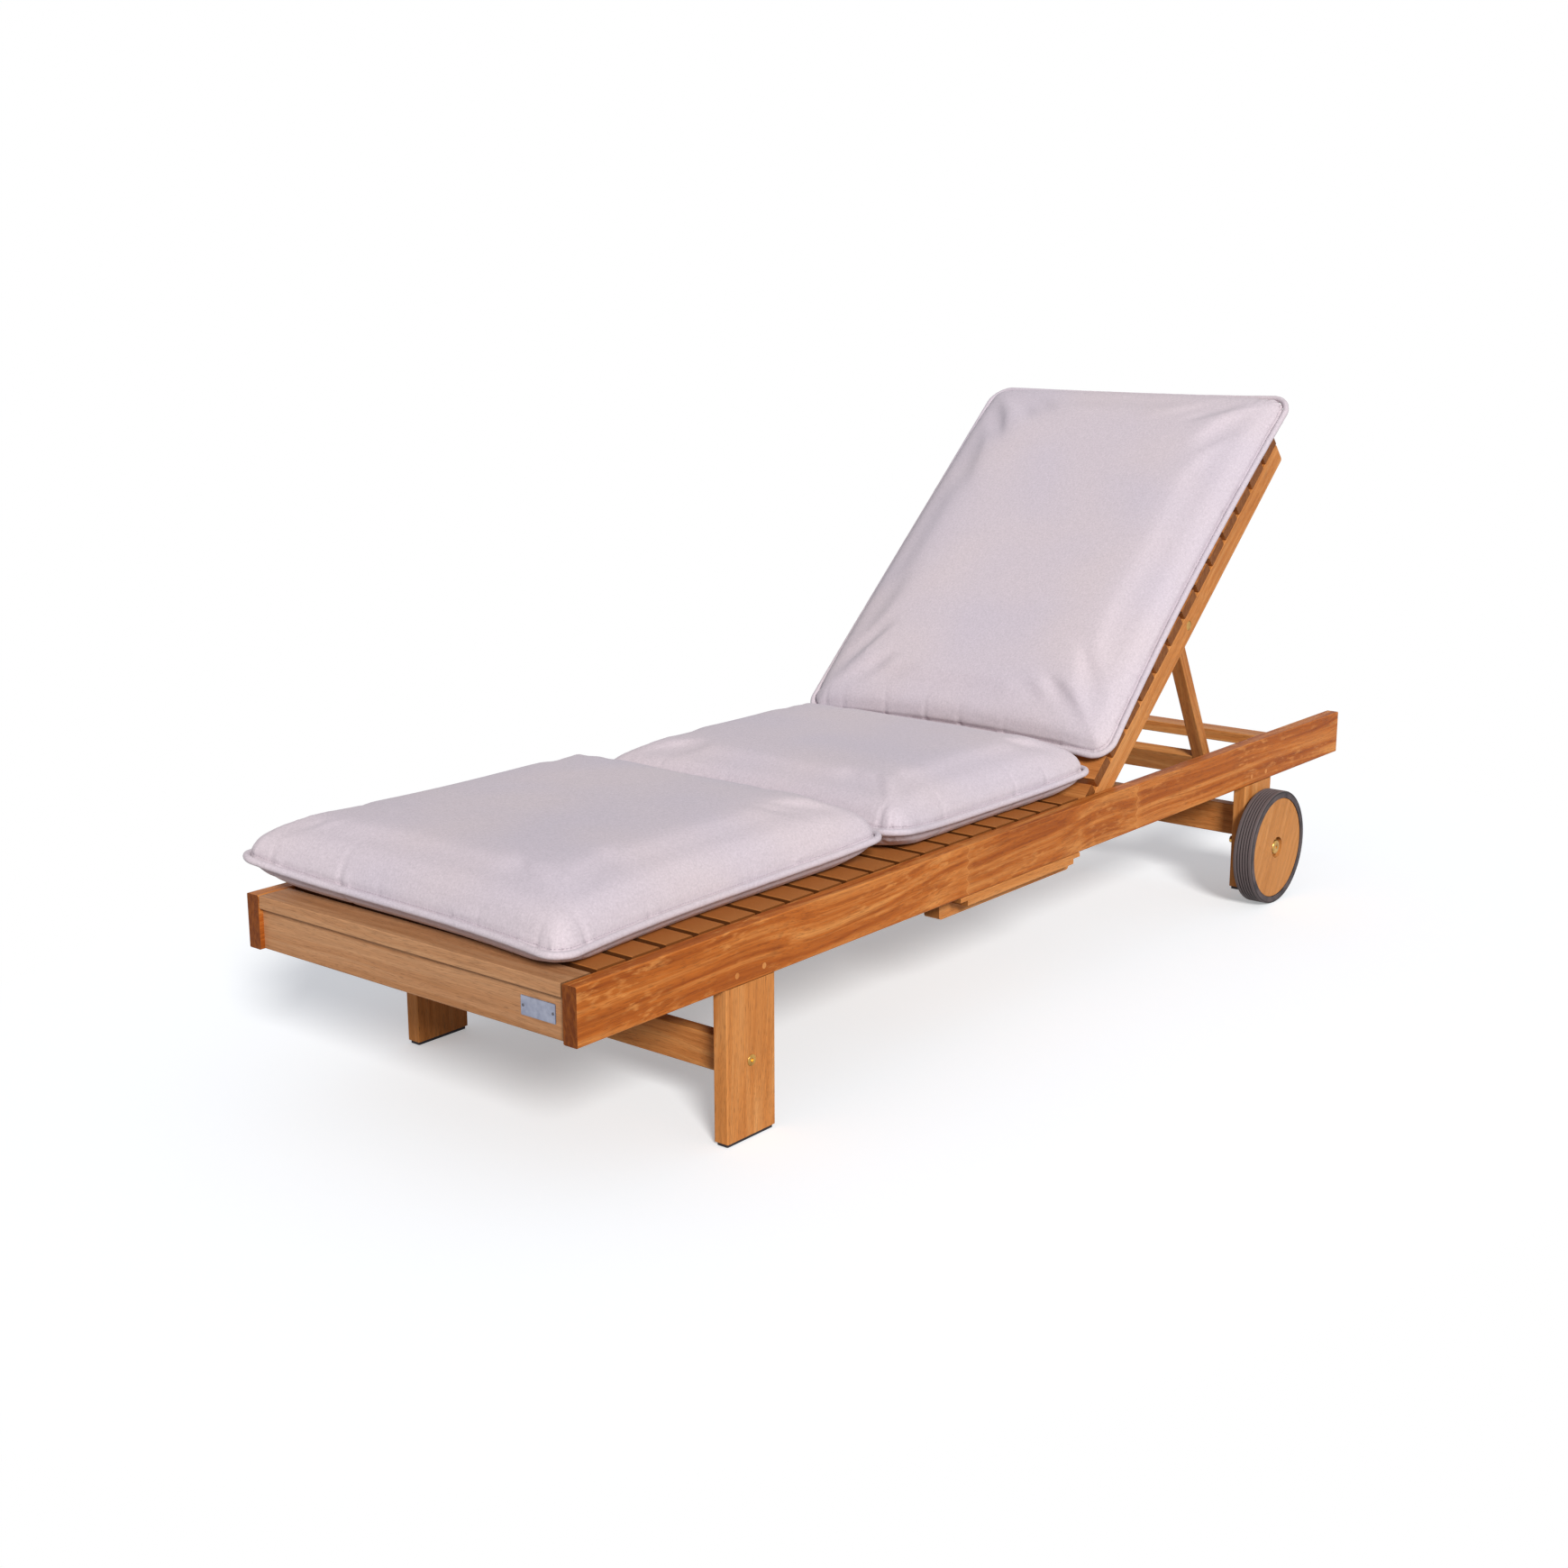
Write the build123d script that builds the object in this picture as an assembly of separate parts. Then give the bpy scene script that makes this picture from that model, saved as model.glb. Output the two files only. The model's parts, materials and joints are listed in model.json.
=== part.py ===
from build123d import *
import os
from math import cos, hypot, radians, sin, sqrt

# Teak sun lounger, in millimetres. X runs from the foot end to the head end, Y towards the sitter's
# right, Z up from the floor. The origin is on the floor in the middle of the side rails.
# Pieces of a left and right pair are drawn on the right side and mirrored for the left.

# Side rails
rail_length = 2000.0
frame_width = 610.0
rail_thickness = 23.0
rail_height = 75.0
rail_top = 287.0
wood_arris = 2.0

# Seat slats, and the ledgers that carry them. The seat share is the part of the rails' length, from the
# foot end, that the seat covers.
seat_share = 0.56475
slat_thickness = 18.0
slat_gap = 11.0
slat_end_clearance = 2.5
slat_proud = 1.0
slat_arris = 1.5
seat_slat_count = 18
seat_slats_in_set = 3
ledger_thickness = 20.0
ledger_height = 28.0
ledger_arris = 1.5

# Front cap slat and apron
cap_width = 50.0
cap_gap = 10.5
apron_setback = 7.0
apron_thickness = 23.0

# Legs, with a tenon in the rail that two dowels lock, and a pad below
leg_inset_share = 0.155
leg_width = 95.0
rear_leg_lift = 24.0
pad_thickness = 5.0
pad_inset = 2.5
tenon_thickness = 9.0
tenon_width = 72.0
tenon_height = 46.0
tenon_clearance = 0.1
tenon_end_gap = 1.0
dowel_radius = 4.0
dowel_clearance = 0.05
dowel_spacing = 53.0
dowel_height = 14.0

# Stretchers between the legs, each held by two bolts in barrel nuts
stretcher_thickness = 23.0
front_stretcher_bottom = 82.0
front_stretcher_height = 49.0
rear_stretcher_bottom = 112.0
rear_stretcher_height = 54.0
bolt_radius = 3.0
bolt_head_radius = 7.75
bolt_head_height = 3.5
bolt_head_proud = 1.2
bolt_head_round = 1.0
bolt_socket_width = 5.0
bolt_socket_depth = 2.0
bolt_bite = 52.0
bolt_clearance = 0.05
barrel_nut_radius = 5.0
barrel_nut_length = 18.0
barrel_nut_depth = 40.0
barrel_clearance = 0.05

# Wheels and axles
wheel_radius = 100.0
wheel_width = 35.0
tyre_depth = 12.0
tyre_shoulder = 2.5
tread_groove_count = 5
tread_groove_width = 2.6
tread_groove_depth = 2.0
tread_margin = 5.0
disc_recess = 1.5
disc_edge_round = 1.5
hub_recess_radius = 18.5
hub_recess_depth = 9.0
bush_wall = 4.0
bush_flange_radius = 17.5
bush_flange_thickness = 3.0
seat_clearance = 0.05
axle_radius = 6.0
axle_clearance = 0.06
axle_head_radius = 12.5
axle_head_height = 4.5
axle_head_round = 2.5
axle_head_gap = 0.4
axle_spacer_radius = 12.0
wheel_spacing = 8.0
axle_reach = 25.0
axle_nut_across_flats = 18.0
axle_nut_height = 10.0
wheel_side_gap = 0.3

# Backrest: two stiles that turn on bolts in the rails, with slats on their front faces
rest_recline = 42.0
hinge_drop = 33.0
hinge_clearance = 0.7
stile_head_gap = 42.0
stile_depth = 38.0
stile_thickness = 22.0
stile_gap = 3.0
stile_tail = 19.5
stile_top_round = 5.0
stile_arris = 1.5
back_slat_count = 14
back_slats_in_set = 4
hinge_bolt_radius = 4.0
hinge_bolt_clearance = 0.05
hinge_bolt_bite = 17.0
hinge_head_radius = 8.0
hinge_head_height = 4.0
hinge_head_round = 1.2
hinge_head_gap = 0.3
washer_radius = 11.0
washer_gap = 0.3

# Prop: two arms that turn on bolts in the stiles, joined by a foot bar, over notched racks. Its pivot lies
# at a share of the stiles' reach, and its arms are a share of that. Angles are in degrees.
prop_pivot_share = 0.4962
prop_arm_share = 0.8154
prop_ratio = 2.483
arm_width = 24.0
arm_depth = 20.0
arm_gap = 1.5
arm_arris = 1.5
foot_bar_depth = 43.0
foot_bar_thickness = 18.0
foot_bar_from_end = 9.0
rack_clearance = 0.5
rack_side_clearance = 1.0
rack_base = 5.7
rack_lead = 34.0
rack_notch_depth = 6.5
rack_notch_flat = 9.0
rack_notch_ramp = 17.0
rack_wall_gap = 0.4
rack_notch_angles = (42.0, 35.5, 29.0, 22.5, 16.0)
rack_guide_angles = (45.0, 40.0, 35.0, 30.0, 25.0, 20.0, 15.0, 10.0, 5.0)

# Crossbar under the head of the backrest when it lies flat
crossbar_width = 45.0
crossbar_thickness = 20.0
crossbar_bearing = 25.0
flat_clearance = 0.3

# Pull-out tray under the seat, in grooved runners on two battens
tray_centre_share = 0.468
tray_width = 286.0
tray_depth = 400.0
tray_thickness = 15.0
tray_tongue = 18.0
tray_tongue_thickness = 7.0
tray_drop = 0.5
tray_clearance = 0.3
tray_travel = 250.0
tray_arris = 1.0
runner_wall = 13.0
batten_width = 26.5
batten_height = 19.0
batten_setback = 28.0
batten_round = 6.0
stop_width = 120.0
stop_thickness = 20.0
stop_height = 14.0

# Cushions. The leg cushion takes a share of the run from the foot end to the backrest. Each pair of shares
# gives a level, as a share of the thickness, and how far the outline there lies inside the welt, as a share
# of the crown, which is itself a share of the cushion's shorter side.
leg_cushion_share = 0.5507
leg_cushion_thickness = 100.0
leg_cushion_shift = 26.0
seat_cushion_thickness = 95.0
seat_cushion_shift = 16.0
seat_cushion_tuck = 6.0
seat_cushion_side_inset = 5.0
back_cushion_thickness = 66.0
back_cushion_shift = 6.0
back_cushion_start = 66.0
back_cushion_overhang = 65.0
back_cushion_side_inset = 1.0
cushion_front_inset = 5.0
cushion_gap = 2.0
cushion_clearance = 0.3
cushion_crown_share = 0.2667
cushion_corner = 36.0
cushion_sag = 11.0
cushion_underside_shares = ((0.0, 0.28), (0.12, 0.12), (0.27, 0.0))
cushion_flank_shares = ((0.27, 0.0), (0.46, 0.07), (0.64, 0.18), (0.78, 0.33))
cushion_summit_shares = ((0.89, 0.52), (0.96, 0.75), (1.0, 1.0))
cushion_corner_growth_share = 0.3
cushion_corner_limit_share = 0.75
cushion_sag_loss_share = 0.5

# One overrun for every cut that leaves a face
cut_overrun = 1.0

# Places worked out from the sizes above
foot_end = -rail_length / 2
head_end = rail_length / 2
half_width = frame_width / 2
inner_half = half_width - rail_thickness
rail_bottom = rail_top - rail_height
ledger_top = rail_top + slat_proud - slat_thickness
slat_top = ledger_top + slat_thickness
slat_half = inner_half - slat_end_clearance
cap_bottom = rail_top - slat_thickness
first_slat_start = foot_end + cap_width + cap_gap
seat_end = foot_end + seat_share * rail_length
slat_pitch = (seat_end + slat_gap - first_slat_start) / seat_slat_count
slat_width = slat_pitch - slat_gap
leg_inset = leg_inset_share * rail_length
leg_centres = (foot_end + leg_inset, head_end - leg_inset)
axle_height = wheel_radius
wheel_inner_face = half_width + wheel_spacing
swing_radius = hypot(stile_tail, stile_depth / 2 + slat_thickness)
hinge_x = seat_end + swing_radius + hinge_clearance
hinge_z = rail_top - hinge_drop
stile_reach = head_end - stile_head_gap - hinge_x
stile_outer = inner_half - stile_gap
stile_inner = stile_outer - stile_thickness
back_slat_pitch = (stile_reach + stile_tail - slat_width) / (back_slat_count - 1)
arm_outer = stile_inner - arm_gap
arm_inner = arm_outer - arm_width
prop_pivot_reach = prop_pivot_share * stile_reach
prop_centres = prop_arm_share * prop_pivot_reach
prop_pivot_x = hinge_x + prop_pivot_reach * cos(radians(rest_recline))
prop_pivot_z = hinge_z + prop_pivot_reach * sin(radians(rest_recline))
prop_slope = rest_recline * (prop_ratio - 1)
flat_stile_bottom = hinge_z - stile_depth / 2
tray_top = rail_bottom - tray_drop
tray_bottom = tray_top - tray_thickness
runner_bottom = tray_bottom - tray_clearance
runner_half = tray_width / 2 + tray_tongue + tray_clearance + runner_wall
tray_x = foot_end + tray_centre_share * rail_length
cushion_start = foot_end + cushion_front_inset
cushion_end = hinge_x + seat_cushion_tuck
leg_cushion_length = leg_cushion_share * (cushion_end - cushion_start)
seat_cushion_start = cushion_start + leg_cushion_length + cushion_gap
seat_cushion_width = frame_width - 2 * seat_cushion_side_inset
back_cushion_width = frame_width - 2 * back_cushion_side_inset
back_cushion_end = stile_reach + back_cushion_overhang

# Places of the leaning pieces: the backrest turns about its hinge, the prop about its own pivot
backrest_place = Pos(hinge_x, 0, hinge_z) * Rot(0, -rest_recline, 0)
prop_place = Pos(prop_pivot_x, 0, prop_pivot_z) * Rot(0, prop_slope, 0)


def block(x_span, y_span, z_span):
    """A box between two X, two Y and two Z values."""
    centre = Pos(sum(x_span) / 2, sum(y_span) / 2, sum(z_span) / 2)
    return centre * Box(x_span[1] - x_span[0], y_span[1] - y_span[0], z_span[1] - z_span[0])


def board(x_span, y_span, z_span, grain, arris):
    """A board whose edges along the grain are slightly rounded."""
    plain = block(x_span, y_span, z_span)
    return fillet(plain.edges().filter_by(grain), arris)


def rod_along_y(x, z, y_span, radius):
    """A round rod or hole along Y."""
    return Pos(x, sum(y_span) / 2, z) * Rot(90, 0, 0) * Cylinder(radius, y_span[1] - y_span[0])


def across(half):
    """The span from minus half to plus half."""
    return (-half, half)


def dowel_spots(leg_x):
    """X and Z of the two dowels that lock one leg."""
    height = rail_bottom + dowel_height
    return [(leg_x - dowel_spacing / 2, height), (leg_x + dowel_spacing / 2, height)]


def rail():
    """One long side rail, with its leg mortises, dowel holes and the blind hole of the hinge bolt."""
    ends = (foot_end, head_end)
    piece = board(ends, (inner_half, half_width), (rail_bottom, rail_top), Axis.X, wood_arris)
    middle = half_width - rail_thickness / 2
    cheek = tenon_thickness / 2 + tenon_clearance
    for leg_x in leg_centres:
        reach = tenon_width / 2 + tenon_clearance
        mortise_top = rail_bottom + tenon_height + tenon_end_gap
        piece -= block(
            (leg_x - reach, leg_x + reach),
            (middle - cheek, middle + cheek),
            (rail_bottom - cut_overrun, mortise_top),
        )
        for x, z in dowel_spots(leg_x):
            through = (inner_half - cut_overrun, half_width + cut_overrun)
            piece -= rod_along_y(x, z, through, dowel_radius + dowel_clearance)
    blind = (inner_half - cut_overrun, inner_half + hinge_bolt_bite)
    piece -= rod_along_y(hinge_x, hinge_z, blind, hinge_bolt_radius + hinge_bolt_clearance)
    return piece


def ledger():
    """The strip inside a rail on which the ends of the seat slats lie."""
    start = foot_end + cap_width + cap_gap / 2
    end = seat_end - slat_width / 4
    return board(
        (start, end),
        (inner_half - ledger_thickness, inner_half),
        (ledger_top - ledger_height, ledger_top),
        Axis.X,
        ledger_arris,
    )


def cross_slat(x_start, z_bottom, width):
    """One slat across the frame."""
    return board(
        (x_start, x_start + width),
        across(slat_half),
        (z_bottom, z_bottom + slat_thickness),
        Axis.Y,
        slat_arris,
    )


def front_cap():
    """The first slat, flush with the rail ends, lying on the apron."""
    return cross_slat(foot_end, cap_bottom, cap_width)


def seat_slat_sets():
    """The seat slats, in sets that each make one group of separate solids."""
    starts = [first_slat_start + number * slat_pitch for number in range(seat_slat_count)]
    groups = [starts[i : i + seat_slats_in_set] for i in range(0, seat_slat_count, seat_slats_in_set)]
    return [[cross_slat(start, ledger_top, slat_width) for start in group] for group in groups]


def front_apron():
    """The board between the rail ends, under the cap slat."""
    front = foot_end + apron_setback
    return board(
        (front, front + apron_thickness),
        across(inner_half),
        (rail_bottom, cap_bottom),
        Axis.Y,
        wood_arris,
    )


def leg_blank(leg_x, lift):
    """A leg with its tenon and dowel holes, standing on its pad."""
    post = board(
        (leg_x - leg_width / 2, leg_x + leg_width / 2),
        (inner_half, half_width),
        (lift + pad_thickness, rail_bottom),
        Axis.Z,
        wood_arris,
    )
    middle = half_width - rail_thickness / 2
    post += block(
        (leg_x - tenon_width / 2, leg_x + tenon_width / 2),
        (middle - tenon_thickness / 2, middle + tenon_thickness / 2),
        (rail_bottom - wood_arris, rail_bottom + tenon_height),
    )
    for x, z in dowel_spots(leg_x):
        post -= rod_along_y(x, z, (inner_half, half_width), dowel_radius + dowel_clearance)
    return post


def bolt_holes(leg_x, z):
    """The hole and the head's counterbore of a stretcher bolt in a leg."""
    through = (inner_half - cut_overrun, half_width + cut_overrun)
    head_seat = half_width + bolt_head_proud - bolt_head_height
    hole = rod_along_y(leg_x, z, through, bolt_radius + bolt_clearance)
    hole += rod_along_y(leg_x, z, (head_seat, through[1]), bolt_head_radius + bolt_clearance)
    return hole


def stretcher_bolt_height(bottom, height):
    """Stretcher bolts run through the middle of the stretcher."""
    return bottom + height / 2


def front_leg():
    """A front leg, which stands on the floor."""
    leg_x = leg_centres[0]
    z = stretcher_bolt_height(front_stretcher_bottom, front_stretcher_height)
    return leg_blank(leg_x, 0) - bolt_holes(leg_x, z)


def rear_leg():
    """A rear leg, which stops short of the floor and carries the axle."""
    leg_x = leg_centres[1]
    z = stretcher_bolt_height(rear_stretcher_bottom, rear_stretcher_height)
    leg = leg_blank(leg_x, rear_leg_lift) - bolt_holes(leg_x, z)
    through = (inner_half - cut_overrun, half_width + cut_overrun)
    return leg - rod_along_y(leg_x, axle_height, through, axle_radius + axle_clearance)


def leg_pad(leg_x, lift):
    """The rubber pad under a leg."""
    pad = block(
        (leg_x - leg_width / 2 + pad_inset, leg_x + leg_width / 2 - pad_inset),
        (inner_half + pad_inset, half_width - pad_inset),
        (lift, lift + pad_thickness),
    )
    return fillet(pad.edges().filter_by(Axis.Z), wood_arris)


def stretcher(leg_x, bottom, height):
    """The board between two legs, bored at both ends for its bolts and barrel nuts."""
    piece = board(
        (leg_x - stretcher_thickness / 2, leg_x + stretcher_thickness / 2),
        across(inner_half),
        (bottom, bottom + height),
        Axis.Y,
        wood_arris,
    )
    z = stretcher_bolt_height(bottom, height)
    bore_end = inner_half - bolt_bite - bolt_clearance
    for side in (-1, 1):
        span = sorted((side * bore_end, side * (inner_half + cut_overrun)))
        piece -= rod_along_y(leg_x, z, span, bolt_radius + bolt_clearance)
        pocket = Cylinder(barrel_nut_radius + barrel_clearance, barrel_nut_length + cut_overrun)
        depth = leg_x + stretcher_thickness / 2 + cut_overrun / 2 - barrel_nut_length / 2
        piece -= Pos(depth, side * (inner_half - barrel_nut_depth), z) * Rot(0, 90, 0) * pocket
    return piece


def socket_bolt(head_radius, head_height, head_round, shank_radius, shank_length, socket=True):
    """A bolt along +Z with its head's underside at the origin and its shank below it."""
    head = Pos(0, 0, head_height / 2) * Cylinder(head_radius, head_height)
    head = fillet(head.edges().sort_by(Axis.Z)[-1], head_round)
    if socket:
        recess = extrude(RegularPolygon(bolt_socket_width / 2, 6, major_radius=False), bolt_socket_depth)
        head -= Pos(0, 0, head_height - bolt_socket_depth) * recess
    return head + Pos(0, 0, -shank_length / 2) * Cylinder(shank_radius, shank_length)


def stretcher_spots():
    """X and Z of the stretcher bolts on one side."""
    front_z = stretcher_bolt_height(front_stretcher_bottom, front_stretcher_height)
    rear_z = stretcher_bolt_height(rear_stretcher_bottom, rear_stretcher_height)
    return [(leg_centres[0], front_z), (leg_centres[1], rear_z)]


def stretcher_bolts():
    """Four bolts through the legs into the ends of the stretchers."""
    seat = half_width + bolt_head_proud - bolt_head_height
    shank = seat - inner_half + bolt_bite
    bolt = socket_bolt(bolt_head_radius, bolt_head_height, bolt_head_round, bolt_radius, shank)
    bolts = []
    for x, z in stretcher_spots():
        bolts.append(Pos(x, seat, z) * Rot(-90, 0, 0) * bolt)
        bolts.append(Pos(x, -seat, z) * Rot(90, 0, 0) * bolt)
    return bolts


def barrel_nuts():
    """Four barrel nuts in the stretchers, crossed by the bolts."""
    nuts = []
    for x, z in stretcher_spots():
        for side in (-1, 1):
            y = side * (inner_half - barrel_nut_depth)
            centre = x + stretcher_thickness / 2 - barrel_nut_length / 2
            nut = Pos(centre, y, z) * Rot(0, 90, 0) * Cylinder(barrel_nut_radius, barrel_nut_length)
            span = (y - barrel_nut_radius - cut_overrun, y + barrel_nut_radius + cut_overrun)
            nuts.append(nut - rod_along_y(x, z, span, bolt_radius + bolt_clearance))
    return nuts


def leg_dowels():
    """Eight dowels, flush with both faces of the rails."""
    dowels = []
    for leg_x in leg_centres:
        for x, z in dowel_spots(leg_x):
            dowels.append(rod_along_y(x, z, (inner_half, half_width), dowel_radius))
            dowels.append(rod_along_y(x, z, (-half_width, -inner_half), dowel_radius))
    return dowels


def on_wheel(solid_of_revolution):
    """Stands a wheel piece, drawn about Z from its inner face up, on the right axle."""
    return Pos(leg_centres[1], wheel_inner_face, axle_height) * Rot(-90, 0, 0) * solid_of_revolution


def turned(points):
    """A solid of revolution about Z from an outline in radius and height."""
    outline = Plane.XZ * make_face(Polyline(*points, close=True))
    return revolve(outline, Axis.Z)


def tyre():
    """The rubber tyre: a ring with grooves round its tread and rounded shoulders."""
    inner = wheel_radius - tyre_depth
    ring = Cylinder(wheel_radius, wheel_width) - Cylinder(inner, wheel_width + 2 * cut_overrun)
    ring = Pos(0, 0, wheel_width / 2) * ring
    rims = [edge for edge in ring.edges().filter_by(GeomType.CIRCLE) if edge.radius > inner + tyre_shoulder]
    ring = fillet(rims, tyre_shoulder)
    spread = wheel_width - 2 * (tread_margin + tyre_shoulder)
    step = spread / (tread_groove_count - 1)
    floor = wheel_radius - tread_groove_depth
    mouth = wheel_radius + tread_groove_width / 2
    for number in range(tread_groove_count):
        z = tread_margin + tyre_shoulder + number * step
        ring -= turned([(floor, z), (mouth, z - tread_groove_width), (mouth, z + tread_groove_width)])
    return on_wheel(ring)


def wheel_disc():
    """The turned wooden disc, with a recess for the hub in its outer face."""
    radius = wheel_radius - tyre_depth - seat_clearance
    thickness = wheel_width - 2 * disc_recess
    disc = Pos(0, 0, wheel_width / 2) * Cylinder(radius, thickness)
    disc = fillet(disc.edges().filter_by(GeomType.CIRCLE), disc_edge_round)
    outer_face = wheel_width - disc_recess
    bush_radius = axle_radius + axle_clearance + bush_wall
    disc -= Pos(0, 0, wheel_width / 2) * Cylinder(bush_radius + seat_clearance, wheel_width)
    recess = Cylinder(hub_recess_radius, hub_recess_depth + cut_overrun)
    disc -= Pos(0, 0, outer_face - hub_recess_depth / 2 + cut_overrun / 2) * recess
    return on_wheel(disc)


def wheel_bush():
    """The flanged brass bush that turns on the axle bolt."""
    bore = axle_radius + axle_clearance
    flange_bottom = wheel_width - disc_recess - hub_recess_depth
    flange_top = flange_bottom + bush_flange_thickness
    points = [
        (bore, wheel_side_gap),
        (bore + bush_wall, wheel_side_gap),
        (bore + bush_wall, flange_bottom),
        (bush_flange_radius, flange_bottom),
        (bush_flange_radius, flange_top),
        (bore, flange_top),
    ]
    return on_wheel(turned(points))


def axle_bolt():
    """The axle bolt: a round head in the hub recess, and a shank through bush, spacer and leg."""
    head_seat = wheel_width - disc_recess - hub_recess_depth + bush_flange_thickness + axle_head_gap
    shank = head_seat + wheel_spacing + rail_thickness + axle_reach
    bolt = socket_bolt(axle_head_radius, axle_head_height, axle_head_round, axle_radius, shank)
    return on_wheel(Pos(0, 0, head_seat) * bolt)


def axle_spacers():
    """A spacer ring between each wheel and its leg."""
    ring = Cylinder(axle_spacer_radius, wheel_spacing - wheel_side_gap)
    ring -= Cylinder(axle_radius + axle_clearance, wheel_spacing + cut_overrun)
    right = on_wheel(Pos(0, 0, -wheel_spacing / 2 - wheel_side_gap / 2) * ring)
    return [mirror(right, about=Plane.XZ), right]


def axle_nuts():
    """A nut on the inboard end of each axle bolt."""
    nut = extrude(RegularPolygon(axle_nut_across_flats / 2, 6, major_radius=False), axle_nut_height)
    bore = Cylinder(axle_radius + axle_clearance, axle_nut_height + cut_overrun)
    nut -= Pos(0, 0, axle_nut_height / 2) * bore
    right = on_wheel(Pos(0, 0, -wheel_spacing - rail_thickness - axle_nut_height) * nut)
    return [mirror(right, about=Plane.XZ), right]


def stile():
    """A backrest stile, drawn flat along X with its hinge at the origin."""
    half = stile_depth / 2
    profile = Polyline((0, -half), (stile_reach, -half), (stile_reach, half))
    profile += Polyline((stile_reach, half), (-stile_tail, half), (-stile_tail, 0))
    tail_round = ThreePointArc(
        (-stile_tail, 0), (-stile_tail * sqrt(1 / 2), -half * sqrt(1 / 2)), (0, -half)
    )
    outline = Plane.XZ * make_face(profile + tail_round)
    bar = Pos(0, stile_outer, 0) * extrude(outline, stile_thickness)
    bar = fillet(bar.edges().filter_by(Axis.Y).sort_by(Axis.X)[-2:], stile_top_round)
    back_edges = bar.edges().filter_by(Axis.X).sort_by(Axis.Z)[:2]
    bar = fillet(back_edges, stile_arris)
    span = (stile_inner - cut_overrun, stile_outer + cut_overrun)
    bar -= rod_along_y(0, 0, span, hinge_bolt_radius + hinge_bolt_clearance)
    bar -= rod_along_y(prop_pivot_reach, 0, span, hinge_bolt_radius + hinge_bolt_clearance)
    head_span = (stile_outer - hinge_head_height, span[1])
    bar -= rod_along_y(prop_pivot_reach, 0, head_span, hinge_head_radius + hinge_bolt_clearance)
    return backrest_place * bar


def back_slat_sets():
    """The backrest slats on the front faces of the stiles, in sets."""
    starts = [number * back_slat_pitch - stile_tail for number in range(back_slat_count)]
    groups = [starts[i : i + back_slats_in_set] for i in range(0, back_slat_count, back_slats_in_set)]
    z_span = (stile_depth / 2, stile_depth / 2 + slat_thickness)
    return [
        [
            backrest_place * board((x, x + slat_width), across(stile_outer), z_span, Axis.Y, slat_arris)
            for x in group
        ]
        for group in groups
    ]


def hinge_bolts():
    """The two bolts in the rails on which the backrest turns; their heads are inside the stiles."""
    shank = stile_thickness + stile_gap + hinge_bolt_bite
    bolt = socket_bolt(hinge_head_radius, hinge_head_height, hinge_head_round, hinge_bolt_radius, shank)
    seat = stile_inner - hinge_head_gap
    right = Pos(hinge_x, seat, hinge_z) * Rot(90, 0, 0) * bolt
    return [mirror(right, about=Plane.XZ), right]


def prop_bolts():
    """The two bolts in the stiles on which the prop arms turn, each riveted over inside the arm."""
    seat = stile_outer - hinge_head_height
    shank = seat - arm_inner
    bolt = socket_bolt(
        hinge_head_radius, hinge_head_height, hinge_head_round, hinge_bolt_radius, shank, socket=False
    )
    right = Pos(prop_pivot_x, seat, prop_pivot_z) * Rot(-90, 0, 0) * bolt
    return [mirror(right, about=Plane.XZ), right]


def hinge_washers():
    """Washers that fill the gaps beside the stiles at both pivots."""
    hole = hinge_bolt_radius + hinge_bolt_clearance
    washers = []
    for place, y_span in (
        ((hinge_x, hinge_z), (stile_outer, inner_half - washer_gap)),
        ((prop_pivot_x, prop_pivot_z), (arm_outer + washer_gap, stile_inner)),
    ):
        ring = rod_along_y(*place, y_span, washer_radius)
        ring -= rod_along_y(*place, (y_span[0] - cut_overrun, y_span[1] + cut_overrun), hole)
        washers += [mirror(ring, about=Plane.XZ), ring]
    return washers


def prop_arm():
    """A prop arm with round ends, drawn along X from its pivot."""
    outline = Plane.XZ * Pos(prop_centres / 2, 0) * SlotCenterToCenter(prop_centres, arm_depth)
    arm = Pos(0, arm_outer, 0) * extrude(outline, arm_width)
    arm = fillet(arm.edges().filter_by(Axis.X), arm_arris)
    span = (arm_inner - cut_overrun, arm_outer + cut_overrun)
    arm -= rod_along_y(0, 0, span, hinge_bolt_radius + hinge_bolt_clearance)
    return prop_place * arm


def prop_foot_bar():
    """The bar between the feet of the prop arms, flush with their lower faces."""
    end = prop_centres + arm_depth / 2 - foot_bar_from_end
    bar = board(
        (end - foot_bar_depth, end),
        across(arm_inner),
        (-arm_depth / 2, foot_bar_thickness - arm_depth / 2),
        Axis.Y,
        arm_arris,
    )
    return prop_place * bar


def foot_centre(recline):
    """X and Z of the centre of the prop's round foot with the backrest at this slope."""
    slope = radians(recline)
    swing = radians(recline * (prop_ratio - 1))
    x = hinge_x + prop_pivot_reach * cos(slope) + prop_centres * cos(swing)
    z = hinge_z + prop_pivot_reach * sin(slope) - prop_centres * sin(swing)
    return x, z


def rack_guide(recline):
    """The point of the rack's crest below the foot at this slope, square to the foot's path."""
    slope = radians(recline)
    swing = radians(recline * (prop_ratio - 1))
    along_x = prop_pivot_reach * sin(slope) + prop_centres * (prop_ratio - 1) * sin(swing)
    along_z = prop_centres * (prop_ratio - 1) * cos(swing) - prop_pivot_reach * cos(slope)
    offset = (arm_depth / 2 + rack_clearance) / hypot(along_x, along_z)
    x, z = foot_centre(recline)
    return x + along_z * offset, z - along_x * offset


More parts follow.
